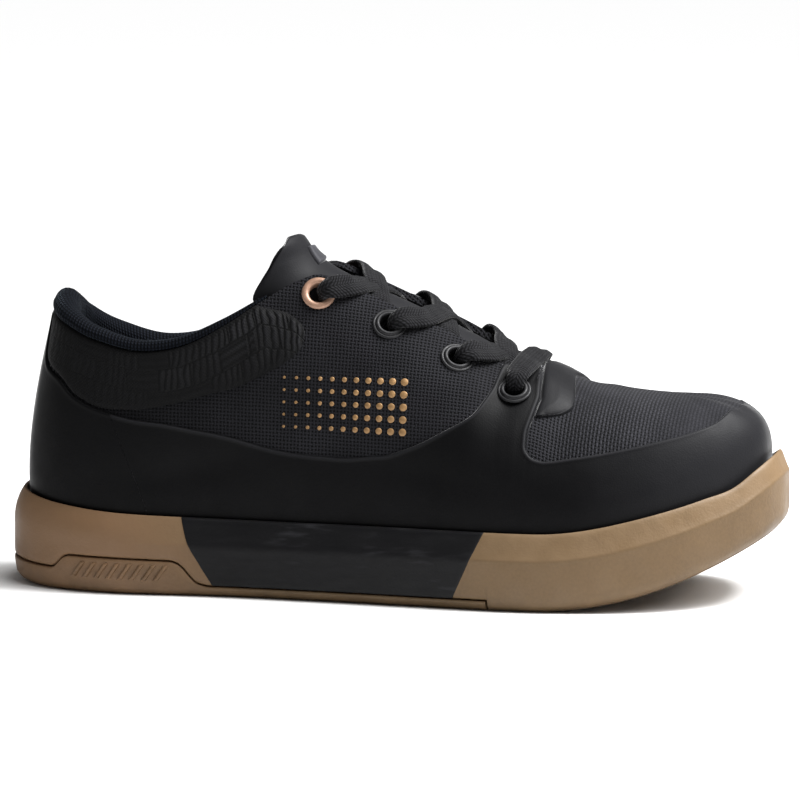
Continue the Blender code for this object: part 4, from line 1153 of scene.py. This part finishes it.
def build_sole():
    split = [GROOVE_TURN, GROOVE_TURN + 0.0006]
    cup = mesh_object("sole_cup", *sole_loft(sole_turns(split), cup_section), sharp=40)
    dress(cup, GUM, ["midsole"])
    split = [GROOVE_TURN - 0.0014, GROOVE_TURN - 0.0008]
    tread = mesh_object("sole_tread", *sole_loft(sole_turns(split), tread_section), sharp=40)
    carve(tread, tread_cutter())
    dress(tread, GUM_TREAD, ["outsole"])
    dress(mesh_object("tab_ribs", *tab_ribs()), GUM_TREAD)
    for side in SIDES:
        name = f"side_panel_{SIDE_NAMES[side]}"
        panel = mesh_object(f"inlay_{SIDE_NAMES[side]}", *panel_grid(side, 0.3, 0.9))
        dress(panel, RUBBER, [name])
    footbed = mesh_object("footbed", *sole_loft(np.linspace(0, 1, 121), footbed_section))
    dress(footbed, FOOTBED, ["insole"])


# Upper
def rib_lengths(points):
    """Length up each rib of a grid of skin points, seen along the shoe."""
    return lengths_along(points[..., 1:], axis=1)


# Number of the eyelet that sits on the mudguard, and how high the mudguard's face is there
LOWEST = len(EYELETS) - 1
GUARD_TOP = 0.85


def face_frame(centre, normal):
    """A place on the skin with its normal and two directions in its face."""
    along = unit(np.cross(normal, [0.0, 0.0, 1.0]))
    return centre, normal, along, np.cross(normal, along)


def eyelet_frames():
    """Frame of each eyelet by side and number, raised clear of the curved skin under its ring."""
    frames = {}
    near_turns = np.linspace(-0.016, 0.016, 9)[:, None]
    near_v = np.linspace(-0.1, 0.1, 9)[None, :]
    for side in SIDES:
        for number, (turn, v) in enumerate(EYELET_SPOTS):
            centre = skin(side, turn, v, 0.0)
            normal = skin_normal(side, turn, v)
            around = skin(side, turn + near_turns, np.clip(v + near_v, 0, 1), 0.0) - centre
            close = np.linalg.norm(around, axis=-1) < EYELET_RING + 0.6
            frames[side, number] = face_frame(centre + normal * (around @ normal)[close].max(), normal)
    return frames


FRAMES = eyelet_frames()


def lathe(eyelet, profile):
    """Ring of revolution round an eyelet's normal from (radius, height) corners."""
    centre, normal, along, across = eyelet
    angles = np.linspace(0, 2 * math.pi, EYELET_SIDES, endpoint=False)
    out = along * np.cos(angles)[:, None] + across * np.sin(angles)[:, None]
    profile = np.array(profile)
    sections = centre + out[:, None] * profile[None, :, :1] + normal * profile[None, :, 1:]
    uv = np.zeros((*sections.shape[:2], 2))
    return tube(sections, uv, closed=True)


def hole_cutter(numbers):
    parts = []
    for side in SIDES:
        for number in numbers:
            rod = [(0.02, -7.0), (EYELET_CUT, -7.0), (EYELET_CUT, 7.0), (0.02, 7.0)]
            parts.append(lathe(FRAMES[side, number], rod))
    return mesh_object("hole_cutter", *merged(parts))


def build_shell():
    """Mesh shell of the upper: both sides joined at heel, toe and ridge."""
    extra = np.concatenate([np.linspace(THROAT_ROUND, THROAT_END, 24), [ARM_END, SEAM_TURN]])
    turns = np.unique(np.round(np.concatenate([np.linspace(0, 1, 181), extra]), 6))
    rows = np.concatenate([[-1.0, -0.6, -0.25], np.linspace(0, 1, 46)])
    turn_grid = slanted(turns, rows[None, :])
    open_edges = np.zeros((len(turns), len(rows)), bool)
    open_edges[[0, -1]] = True
    open_edges[turns > THROAT_END - 1e-5, -1] = True
    parts = []
    for side in SIDES:
        outer = skin(side, turn_grid, rows[None, :], 0.0)
        inner = skin(side, turn_grid, rows[None, :], -WALL_THICK)
        lengths = rib_lengths(outer)
        up = np.where(turns[:, None] < ARM_END, lengths + 20, lengths - lengths[:, -1:])
        uv = np.stack([outer[..., 0], up], axis=-1)
        parts.append(slab(outer, inner, uv, open_edges=open_edges))
    shell = mesh_object("mesh_shell", *merged(parts), sharp=60)
    carve(shell, hole_cutter(range(len(EYELETS))))
    dress(shell, MESH, ["upper"])


def edge_distance(points, edges):
    """Distance of each point of a grid to the nearest of the edge points."""
    tree = KDTree(len(edges))
    for i, point in enumerate(edges):
        tree.insert(Vector(point), i)
    tree.balance()
    flat = [tree.find(Vector(point))[2] for point in points.reshape(-1, 3)]
    return np.array(flat).reshape(points.shape[:-1])


# Distance told for an overlay's edge that carries no painted highlight on its bead
PLAIN_EDGE = 5.0
# Steps between the given points of an edge line
LINE_STEPS = 8
# Turns between which the overlays thin out over the toe
TOE_THINS = (0.76, 0.95)
# Section of an overlay at its edge: distance from the edge, and lift
OVERLAY_PROFILE = [(0.0, -0.1), (0.2, 0.5), (0.45, 0.86), (0.8, 1.04), (1.2, 1.0), (1.8, 0.86), (2.8, 0.84)]


def overlay(side, turn_grid, v_grid, edges, cells=None, open_edges=None, profile=None, highlit_edges=None):
    """One side of an overlay on the skin, with a soft bead on its edges that carries a painted highlight on
    some.
    """
    ground = skin(side, turn_grid, v_grid, 0.0)
    away = edge_distance(ground, edges)
    from_highlit_edge = away + PLAIN_EDGE if highlit_edges is None else edge_distance(ground, highlit_edges)
    keys, lifts = np.array(profile or OVERLAY_PROFILE).T
    thin = np.interp(turn_grid, TOE_THINS, (1.0, 0.28))
    outer = skin(side, turn_grid, v_grid, np.interp(away, keys, lifts) * thin)
    inner = skin(side, turn_grid, v_grid, -0.4)
    uv = np.stack([from_highlit_edge, rib_lengths(ground)], axis=-1)
    return slab(outer, inner, uv, cells, open_edges)


def leaning_line(side, turns, v):
    """Line on the skin along its leaning columns, with close points between the given ones."""
    given = np.arange(len(turns))
    at = np.linspace(0, given[-1], LINE_STEPS * given[-1] + 1)
    turns = np.interp(at, given, slanted(turns, v[:, None])[:, 0])
    return skin(side, turns, np.interp(at, given, v), 0.0)


LOW_V = -0.3


def build_mudguard():
    """Overlay along both sides, round the toe and up to the front of the throat."""
    start = SEAM_TURN + SEAM_GAP
    turns = np.concatenate(
        [
            start + (ARM_SPOTS[8, 0] - start) * np.linspace(0, 1, 70) ** 1.15,
            np.linspace(ARM_SPOTS[8, 0], ARM_END, 76)[1:],
            ARM_END + (WINDOW_SPOTS[0, 0] - ARM_END) * (1 - np.cos(np.linspace(0, math.pi / 2, 30)[1:])),
            np.linspace(WINDOW_SPOTS[0, 0], 1.0, 80)[1:],
        ]
    )
    corner = WINDOW_V[0]
    behind = turns <= ARM_END + 1e-9
    top = np.where(behind, rounded(ARM_KEYS, ARM_V, turns), rounded(WINDOW_KEYS, WINDOW_V, turns))
    middle = np.where(behind, np.minimum(corner, 0.9 * top), top)
    fall = 1 - (1 - np.linspace(0, 1, 34)) ** 1.7
    lower = LOW_V + (middle[:, None] - LOW_V) * fall
    upper = middle[:, None] + (top - middle)[:, None] * fall[1:]
    v_grid = np.concatenate([lower, upper], axis=1)
    turn_grid = slanted(turns, v_grid)
    cells = np.ones((len(turns) - 1, v_grid.shape[1] - 1), bool)
    cells[~behind[1:], len(fall) - 1 :] = False
    open_edges = np.zeros(v_grid.shape, bool)
    open_edges[-1] = True
    arm_v = np.linspace(corner, 1.0, 160)
    parts = []
    for side in SIDES:
        rear_edge = leaning_line(side, turns[behind], top[behind])
        arm_edge = leaning_line(side, np.full(arm_v.shape, ARM_END), arm_v)
        window_edge = leaning_line(side, turns[~behind], top[~behind])
        edges = np.concatenate([rear_edge, arm_edge, window_edge])
        parts.append(overlay(side, turn_grid, v_grid, edges, cells, open_edges, highlit_edges=edges))
    guard = mesh_object("mudguard_overlay", *merged(parts), sharp=60)
    carve(guard, hole_cutter([LOWEST]))
    dress(guard, SMOOTH, ["mudguard"])


def build_counter():
    """Overlay round the heel with a narrow strip up the back."""
    turns = np.unique(np.concatenate([np.linspace(0, 0.11, 70), np.linspace(0.11, SEAM_TURN, 60)]))
    top = counter_top(turns)
    fall = 1 - (1 - np.linspace(0, 1, 46)) ** 1.5
    v_grid = LOW_V + (top[:, None] - LOW_V) * fall
    turn_grid = slanted(turns, v_grid)
    open_edges = np.zeros(v_grid.shape, bool)
    open_edges[0] = True
    parts = []
    for side in SIDES:
        edges = leaning_line(side, turns, top)
        parts.append(overlay(side, turn_grid, v_grid, edges, open_edges=open_edges))
    counter = mesh_object("counter_overlay", *merged(parts), sharp=60)
    dress(counter, SMOOTH, ["heel_counter"])


PANEL_PROFILE = [(0.0, -0.1), (0.3, 0.35), (0.8, 0.7), (1.6, 1.0), (3.0, 1.1)]
PANEL_REAR = [0.062, 0.074, 0.083, 0.105, 0.15, 0.19, 0.235]
PANEL_START = 0.064
PANEL_FRONT = 0.4


def build_collar_panels():
    """Ribbed panels below the collar, from the counter's edge to a rounded front end."""
    tip = PANEL_SPOTS[-1, 0]
    front = tip - (tip - PANEL_FRONT) * np.linspace(0, 1, 50) ** 2
    turns = np.unique(np.concatenate([np.linspace(PANEL_START, PANEL_FRONT, 120), front]))
    lower_turns = np.concatenate([PANEL_REAR, PANEL_SPOTS[:, 0]])
    lower_v = np.concatenate([counter_top(PANEL_REAR) + 0.012, PANEL_SPOTS[:, 1]])
    upper_turns = np.concatenate([[0.0], PANEL_TOP_SPOTS[:, 0]])
    upper_v = np.concatenate([[1.0, 1.0], PANEL_TOP_SPOTS[1:, 1]])
    low = rounded(lower_turns, lower_v, turns)
    high = np.maximum(rounded(upper_turns, upper_v, turns), low + 0.001)
    rows = 0.5 - 0.5 * np.cos(np.linspace(0, math.pi, 44))
    v_grid = low[:, None] + (high - low)[:, None] * rows
    turn_grid = slanted(turns, v_grid)
    for side in SIDES:
        edges = np.concatenate([leaning_line(side, turns, low), leaning_line(side, turns, high)])
        points, faces, _ = overlay(side, turn_grid, v_grid, edges, profile=PANEL_PROFILE)
        ground = skin(side, turn_grid, v_grid, 0.0)
        along = lengths_along(ground[:, 30])[:, None] + 0.0 * v_grid
        lengths = rib_lengths(ground)
        uv = np.stack([along, lengths[:, -1:] - lengths], axis=-1).reshape(-1, 2)
        panel = mesh_object(f"ribbed_{SIDE_NAMES[side]}", points, faces, np.concatenate([uv, uv]), sharp=60)
        dress(panel, RIBBED, [f"collar_panel_{SIDE_NAMES[side]}"])


TAB_BULGE = 0.76
TAB_PROFILE = [(0.0, -0.1), (0.25, 0.5), (0.6, 0.9), (1.4, 1.2), (3.0, 1.45), (6.0, 1.7)]


def build_throat_tab():
    """Rounded tab in front of the throat, over the ridge."""
    rows = TAB_EDGE + (1 - TAB_EDGE) * np.sin(np.linspace(0, math.pi / 2, 60)) ** 1.4
    off = np.where(rows < TAB_BULGE, (TAB_BULGE - rows) / (TAB_BULGE - TAB_EDGE), 0.0)
    past = np.clip((rows - TAB_BULGE) / (1 - TAB_BULGE), 0, 1)
    reach = (1 - off**2.8) ** (1 / 2.8) * (1 - 0.06 * past**1.8)
    rear = slanted(np.array([TAB_START]), rows[None])[0]
    front = rear + (TAB_END - TAB_START) * reach
    share = np.sin(np.linspace(0, math.pi / 2, 40))[:, None]
    turn_grid = rear + (front - rear) * share
    v_grid = np.broadcast_to(rows, turn_grid.shape)
    open_edges = np.zeros(v_grid.shape, bool)
    open_edges[:, -1] = True
    parts = []
    for side in SIDES:
        edges = np.concatenate([skin(side, front, rows, 0.0), skin(side, rear, rows, 0.0)])
        parts.append(overlay(side, turn_grid, v_grid, edges, open_edges=open_edges, profile=TAB_PROFILE))
    tab = mesh_object("throat_tab_overlay", *merged(parts), sharp=60)
    dress(tab, TAB_LIT_LOOK, ["throat_tab"])


def eyelet_profile(low, domed):
    """Section of an eyelet: barrel, and either one domed ring or a flat flange with a rolled lip."""
    inner, outer = EYELET_HOLE, EYELET_RING
    back = -WALL_THICK - 0.4
    barrel = [(inner, back), (inner + 0.9, back), (inner + 0.9, low - 0.3)]
    bend = np.linspace(0, math.pi, 9)
    if domed:
        middle, half = (inner + outer) / 2, (outer - inner) / 2
        return barrel + [(middle + half * math.cos(a), low + 0.1 + 0.95 * math.sin(a)) for a in bend]
    lip_middle, lip_half = inner + 0.75, 0.75
    lip = [(lip_middle + lip_half * math.cos(a), low + 0.45 + 0.7 * math.sin(a)) for a in bend]
    flange = [(outer, low - 0.3), (outer, low + 0.12), (outer - 0.2, low + 0.38), (outer - 0.7, low + 0.42)]
    groove = [(lip_middle + lip_half + 0.12, low + 0.3)]
    return barrel + flange + groove + lip


def build_eyelets():
    for (side, number), eyelet in FRAMES.items():
        low = GUARD_TOP if number == LOWEST else 0.0
        name = f"{SIDE_NAMES[side]}_{number + 1}"
        tan = number == 0
        ring = mesh_object(f"ring_{name}", *lathe(eyelet, eyelet_profile(low, domed=tan)), sharp=50)
        look, slot = (TAN, "copper_eyelet") if tan else (BLACK_METAL, "black_eyelet")
        dress(ring, look, [f"eyelet_{name}"])


# Plain dots in the middle of the outer quarter, smaller towards the heel
DOT_COLUMNS = 11
DOT_ROWS = 5
DOT_PITCH = 4.4
DOT_X = -37.0
DOT_Z = 62.0
DOT_RADII = (0.5, 1.35)


def build_dots():
    """Regular field of printed dots."""
    parts = []
    heights = DOT_Z + DOT_PITCH * np.arange(DOT_ROWS)
    for i, radius in enumerate(np.linspace(*DOT_RADII, DOT_COLUMNS)):
        spots = table("x z", *[(DOT_X + DOT_PITCH * i, z) for z in heights])
        profile = [(0.01, -0.25), (radius, -0.25), (radius, 0.12), (0.82 * radius, 0.3), (0.01, 0.34)]
        for turn, v in spots_on_skin(spots):
            place = face_frame(skin(LATERAL, turn, v, 0.0), skin_normal(LATERAL, turn, v))
            parts.append(lathe(place, profile))
    dress(mesh_object("quarter_dots", *merged(parts), sharp=50), BRONZE)


# Crown of the collar from outside to inside, as shares of its width and height, and bulge of its inner face
COLLAR_CROWN = table(
    "share height",
    (-0.10, 0.0), (-0.15, 0.18), (-0.17, 0.38), (-0.12, 0.6), (-0.02, 0.8), (0.12, 0.94),
    (0.28, 1.0), (0.46, 1.0), (0.64, 0.9), (0.8, 0.7), (0.9, 0.45), (0.95, 0.15),
)
COLLAR_SWELL = table(
    "depth share",
    (0, 0.95), (0.1, 1.0), (0.2, 0.85), (0.3, 0.5), (0.4, 0.12), (0.44, 0.0),
)
# Ends of the stretch over which the crown's overhang fades out
HANG_FADES = (0.26, 0.39)


def build_collar():
    """Padded knit roll over the collar's edge, from one front end round the heel to the other."""
    share, height = column(COLLAR_CROWN, "share"), column(COLLAR_CROWN, "height")
    depths = np.linspace(0, COLLAR_SWELL[-1].depth, 14)
    swell = straight(COLLAR_SWELL, "share", depths)
    hidden = WALL_THICK + LINING_GAP
    sections = {}
    for side in SIDES:
        made = []
        for turn in np.linspace(0, COLLAR_END, 120):
            top = float(curve(COLLAR_PAD, "top", turn))
            bulge = float(curve(COLLAR_PAD, "bulge", turn))
            edge = skin_raw(side, turn, 1.0)
            out = skin_normal(side, turn, 1.0)
            up = unit(edge - skin_raw(side, turn, 0.98))
            hang = np.where(share < 0, np.interp(turn, HANG_FADES, (1.0, 0.15)), 1.0)
            inwards = share * hang * (hidden + bulge)
            rim = edge - out * inwards[:, None] + up * (GAP + height * top)[:, None]
            pad = skin(side, turn, 1 - depths, -hidden - bulge * swell)
            back = skin(side, turn, 1 - depths[::-3], -hidden + 0.5)
            made.append(np.concatenate([rim, pad, back, [edge - out * hidden + up * GAP]]))
        sections[side] = np.array(made)
    loop = np.concatenate([sections[LATERAL][::-1], sections[MEDIAL][1:]])
    around = lengths_along(loop, axis=1)
    along = np.broadcast_to(lengths_along(loop[:, 6])[:, None], around.shape)
    roll = mesh_object("collar_roll", *tube(loop, np.stack([along, around], axis=-1)), sharp=80)
    dress(roll, KNIT, ["collar_lining"])


TONGUE_TILT = 0.17
LABEL_ENDS = (0.865, 0.945)
LABEL_HALF = 0.2


def tongue_face(places, across):
    """Outer face of the tongue: its top leans a little to the inner side."""
    places = np.asarray(places, float)
    half, back, down = (curve(TONGUE, name, places) for name in ("half", "back", "down"))
    bend = 2 * np.arctan(np.hypot(back, down) / half)
    sag = (1 - np.cos(across * bend)) / (1 - np.cos(bend))
    x = curve(TONGUE, "x", places) - back * sag
    y = half * np.sin(across * bend) / np.sin(bend)
    tilt = TONGUE_TILT * np.clip((places - 0.84) / 0.16, 0, 1) ** 1.5
    z = curve(TONGUE, "z", places) - down * sag - tilt * y
    return np.stack([x, y, z], axis=-1)


def tongue_normal(outer):
    return unit(np.cross(np.gradient(outer, axis=1), np.gradient(outer, axis=0)))


def build_tongue():
    """Padded tongue with thin edges, and a bare sewn label near its top."""
    places = np.concatenate([np.linspace(0, 0.9, 70), np.linspace(0.9, 1.0, 22)[1:]])[:, None]
    across = np.sin(np.linspace(-1, 1, 61) * math.pi / 2)[None, :]
    places, across = np.broadcast_arrays(places, across)
    outer = tongue_face(places, across)
    normal = tongue_normal(outer)
    thick = curve(TONGUE, "thick", places)
    rim = np.minimum((1 - np.abs(across)) * 18, (1 - places) * 120)
    crown = np.clip(1 - rim / 1.8, 0, 1) ** 2
    taper = np.clip(1 - rim / 7.0, 0, 1) ** 2
    front = outer - normal * (0.7 * crown)[..., None]
    rear = outer - normal * (thick - (thick - 1.3) * taper + 0.3 * crown)[..., None]
    uv = np.stack([across * 20, places * 125], axis=-1)
    tongue = mesh_object("padded_tongue", *slab(front, rear, uv), sharp=70)
    dress(tongue, TONGUE_LOOK, ["tongue"])

    places = np.linspace(*LABEL_ENDS, 30)[:, None]
    places, across = np.broadcast_arrays(places, np.linspace(-LABEL_HALF, LABEL_HALF, 26))
    ground = tongue_face(places, across)
    normal = tongue_normal(ground)
    ends = np.minimum(places - LABEL_ENDS[0], LABEL_ENDS[1] - places)
    rim = np.minimum((LABEL_HALF - np.abs(across)) * 20, ends * 110)
    lift = 0.15 + 1.15 * np.clip(rim / 0.8, 0, 1) ** 0.5
    uv = np.stack([rim, places * 125], axis=-1)
    layer = slab(ground + normal * lift[..., None], ground - normal, uv)
    label = mesh_object("tongue_label", *layer, sharp=60)
    dress(label, LABEL)


# Lace
LACE_HALF_WIDTH = 4.6
LACE_HALF_THICK = 1.2
BUNCHED_WIDTH = 2.9
BUNCHED_THICK = 1.6
TONGUE_CREST = TONGUE[::-1]


def tongue_height(x, y=0.0):
    """Height of the tongue's face at a place in the throat."""
    place = np.interp(x, column(TONGUE_CREST, "x"), column(TONGUE_CREST, "place"))
    down, half = curve(TONGUE, "down", place), curve(TONGUE, "half", place)
    crest = np.interp(x, column(TONGUE_CREST, "x"), column(TONGUE_CREST, "z"))
    return float(crest - down * (y / half) ** 2)


def throat_edge(side, x):
    """Point of the throat's edge at a place along the shoe, and the upper's normal there."""
    throat = [row for row in RIBS if 0.47 < row.turn < 0.63]
    turn = float(np.interp(x, column(throat, "x"), column(throat, "turn")))
    return skin_raw(side, turn, 1.0), skin_normal(side, turn, 1.0)


def lace_strap(route):
    """Flat braid along route points that each hold place, face direction and how bunched it is."""
    line = smooth_line([np.concatenate(point) for point in route], 72)
    path, face, bunch = line[:, :3], line[:, 3:6], np.clip(line[:, 6:7], 0, 1)
    ahead = unit(np.gradient(path, axis=0))
    face = unit(face - ahead * (face * ahead).sum(axis=1, keepdims=True))
    wide = np.cross(ahead, face)
    angles = np.linspace(0, 2 * math.pi, 24, endpoint=False)
    power = 0.68
    a = np.sign(np.cos(angles)) * np.abs(np.cos(angles)) ** power
    b = np.sign(np.sin(angles)) * np.abs(np.sin(angles)) ** power
    width = (LACE_HALF_WIDTH + (BUNCHED_WIDTH - LACE_HALF_WIDTH) * bunch) * a
    thick = (LACE_HALF_THICK + (BUNCHED_THICK - LACE_HALF_THICK) * bunch) * b
    walked = lengths_along(path)
    thick = thick * (1 - 0.2 * np.cos(2 * math.pi * a) * (1 - a * a))
    thick = thick * (1 + 0.1 * np.sin(walked[:, None] * 0.9 + 2.0 * a))
    sections = path[:, None] + wide[:, None] * width[..., None] + face[:, None] * thick[..., None]
    return tube(sections, np.stack([walked[:, None] + 0.0 * width, width], axis=-1))


def into_eyelet(side, number, edge, edge_face):
    """End of a strap: over the throat's edge, along the upper and down into an eyelet."""
    centre, normal = FRAMES[side, number][:2]
    rise = 1.0 if number == LOWEST else 0.0
    toward = edge - centre
    toward = unit(toward - normal * (toward @ normal))
    return [
        (edge + edge_face * (1.2 + rise), edge_face, [0.0]),
        (centre + normal * (2.2 + rise) + toward * 6.6, normal, [0.1]),
        (centre + normal * (2.5 + rise) + toward * 3.9, normal - toward * 0.3, [0.4]),
        (centre + normal * (0.9 + rise) + toward * 1.9, normal * 0.6 - toward, [0.9]),
        (centre - normal * 4.5 + toward * 1.5, normal * 0.1 - toward, [1.0]),
    ]


def crossing(side, number, over):
    """Strap from under one edge of the throat over the tongue to the next eyelet on the other side."""
    start, start_normal = FRAMES[side, number][:2]
    end = FRAMES[-side, number - 1][0]
    span = start[0] - end[0]
    near, near_face = throat_edge(side, end[0] + 0.86 * span)
    far, far_face = throat_edge(-side, end[0] + 0.44 * span)
    up = np.array([0.4, 0.0, 0.9])
    middle = end[0] + 0.64 * span
    lie = LACE_HALF_THICK + 0.2
    slip = np.array([end[0] + 0.75 * span, side * 8.5, 0.0])
    slip[2] = tongue_height(slip[0], slip[1]) + lie + 0.3
    crest = np.array([middle, 0.0, tongue_height(middle) + lie + (1.7 if over else -0.3)])
    route = [
        (start - start_normal * 5.4, start_normal, [0.6]),
        (near - near_face * (WALL_THICK + lie), near_face, [0.2]),
        (slip, up + near_face * 0.4, [0.0]),
        (crest, up, [0.0]),
    ]
    return lace_strap(route + into_eyelet(-side, number - 1, far, far_face))


def bottom_bar():
    """Strap straight across the front of the throat, down into the lowest eyelets."""
    ahead = 1.6
    halves = {}
    for side in SIDES:
        centre = FRAMES[side, LOWEST][0]
        halves[side] = into_eyelet(side, LOWEST, *throat_edge(side, centre[0] + ahead))
    x = FRAMES[LATERAL, LOWEST][0][0] + ahead
    crest = (np.array([x, 0.0, tongue_height(x) + 3.0]), np.array([0.4, 0.0, 0.9]), [0.0])
    return lace_strap(halves[LATERAL][::-1] + [crest] + halves[MEDIAL])


def build_lace():
    straps = [bottom_bar()]
    for number in range(LOWEST, 0, -1):
        for side in SIDES:
            straps.append(crossing(side, number, over=(side == LATERAL) == (number % 2 == 1)))
    lace = mesh_object("laced_braid", *merged(straps), sharp=70)
    dress(lace, BRAID, ["lace"])


# Stage, light and camera
def build_stage():
    mesh = bpy.data.meshes.new("floor")
    reach = 40.0
    corners = [(-reach, -reach, 0), (reach, -reach, 0), (reach, reach, 0), (-reach, reach, 0)]
    mesh.from_pydata(corners, [], [(0, 1, 2, 3)])
    floor = bpy.data.objects.new("floor", mesh)
    bpy.context.scene.collection.objects.link(floor)
    look = Look("pale_floor", 0.8, 0.2)
    look.set("Base Color", (0.92, 0.92, 0.92, 1.0))
    mesh.materials.append(look.material)


def add_light(name, kind, energy, place, target, size=None, angle=None):
    data = bpy.data.lights.new(name, kind)
    data.energy = energy
    if size is not None:
        data.shape = "RECTANGLE"
        data.size, data.size_y = size
    if angle is not None:
        data.angle = math.radians(angle)
    light = bpy.data.objects.new(name, data)
    light.location = place
    light.rotation_euler = (Vector(target) - Vector(place)).to_track_quat("-Z", "Y").to_euler()
    bpy.context.scene.collection.objects.link(light)


def build_light():
    bpy.context.scene.view_settings.view_transform = "Standard"
    world = bpy.data.worlds.new("studio")
    bpy.context.scene.world = world
    world.use_nodes = True
    background = world.node_tree.nodes["Background"]
    background.inputs["Color"].default_value = (1.0, 1.0, 1.0, 1.0)
    background.inputs["Strength"].default_value = 0.16
    add_light("top_sun", "SUN", 3.3, (0.5, 0.0, 0.85), (0.0, 0.0, 0.0), angle=60)
    add_light("toe_box", "AREA", 8.5, (0.36, 0.03, 0.56), (0.08, 0.0, 0.06), size=(0.3, 0.3))


VIEW_AZIMUTH = 10.0
VIEW_ELEVATION = 9.0
VIEW_DISTANCE = 8.0
PIXELS_PER_MM = 2.79
VIEW_CENTRE = (-0.0004, CENTRE_SHIFT * MM, 0.0673)
SENSOR = 36.0
PICTURE = 800


def build_camera():
    data = bpy.data.cameras.new("camera")
    data.sensor_width = SENSOR
    data.lens = PIXELS_PER_MM * SENSOR * VIEW_DISTANCE / MM / PICTURE
    data.clip_end = 200.0
    camera = bpy.data.objects.new("camera", data)
    azimuth, elevation = math.radians(VIEW_AZIMUTH), math.radians(VIEW_ELEVATION)
    level = math.cos(elevation)
    back = Vector((math.sin(azimuth) * level, -math.cos(azimuth) * level, math.sin(elevation)))
    camera.location = Vector(VIEW_CENTRE) + back * VIEW_DISTANCE
    camera.rotation_euler = back.to_track_quat("Z", "Y").to_euler()
    bpy.context.scene.collection.objects.link(camera)
    bpy.context.scene.camera = camera


build_stage()
build_light()
build_camera()
build_sole()
build_shell()
build_mudguard()
build_counter()
build_collar_panels()
build_throat_tab()
build_eyelets()
build_dots()
build_collar()
build_tongue()
build_lace()
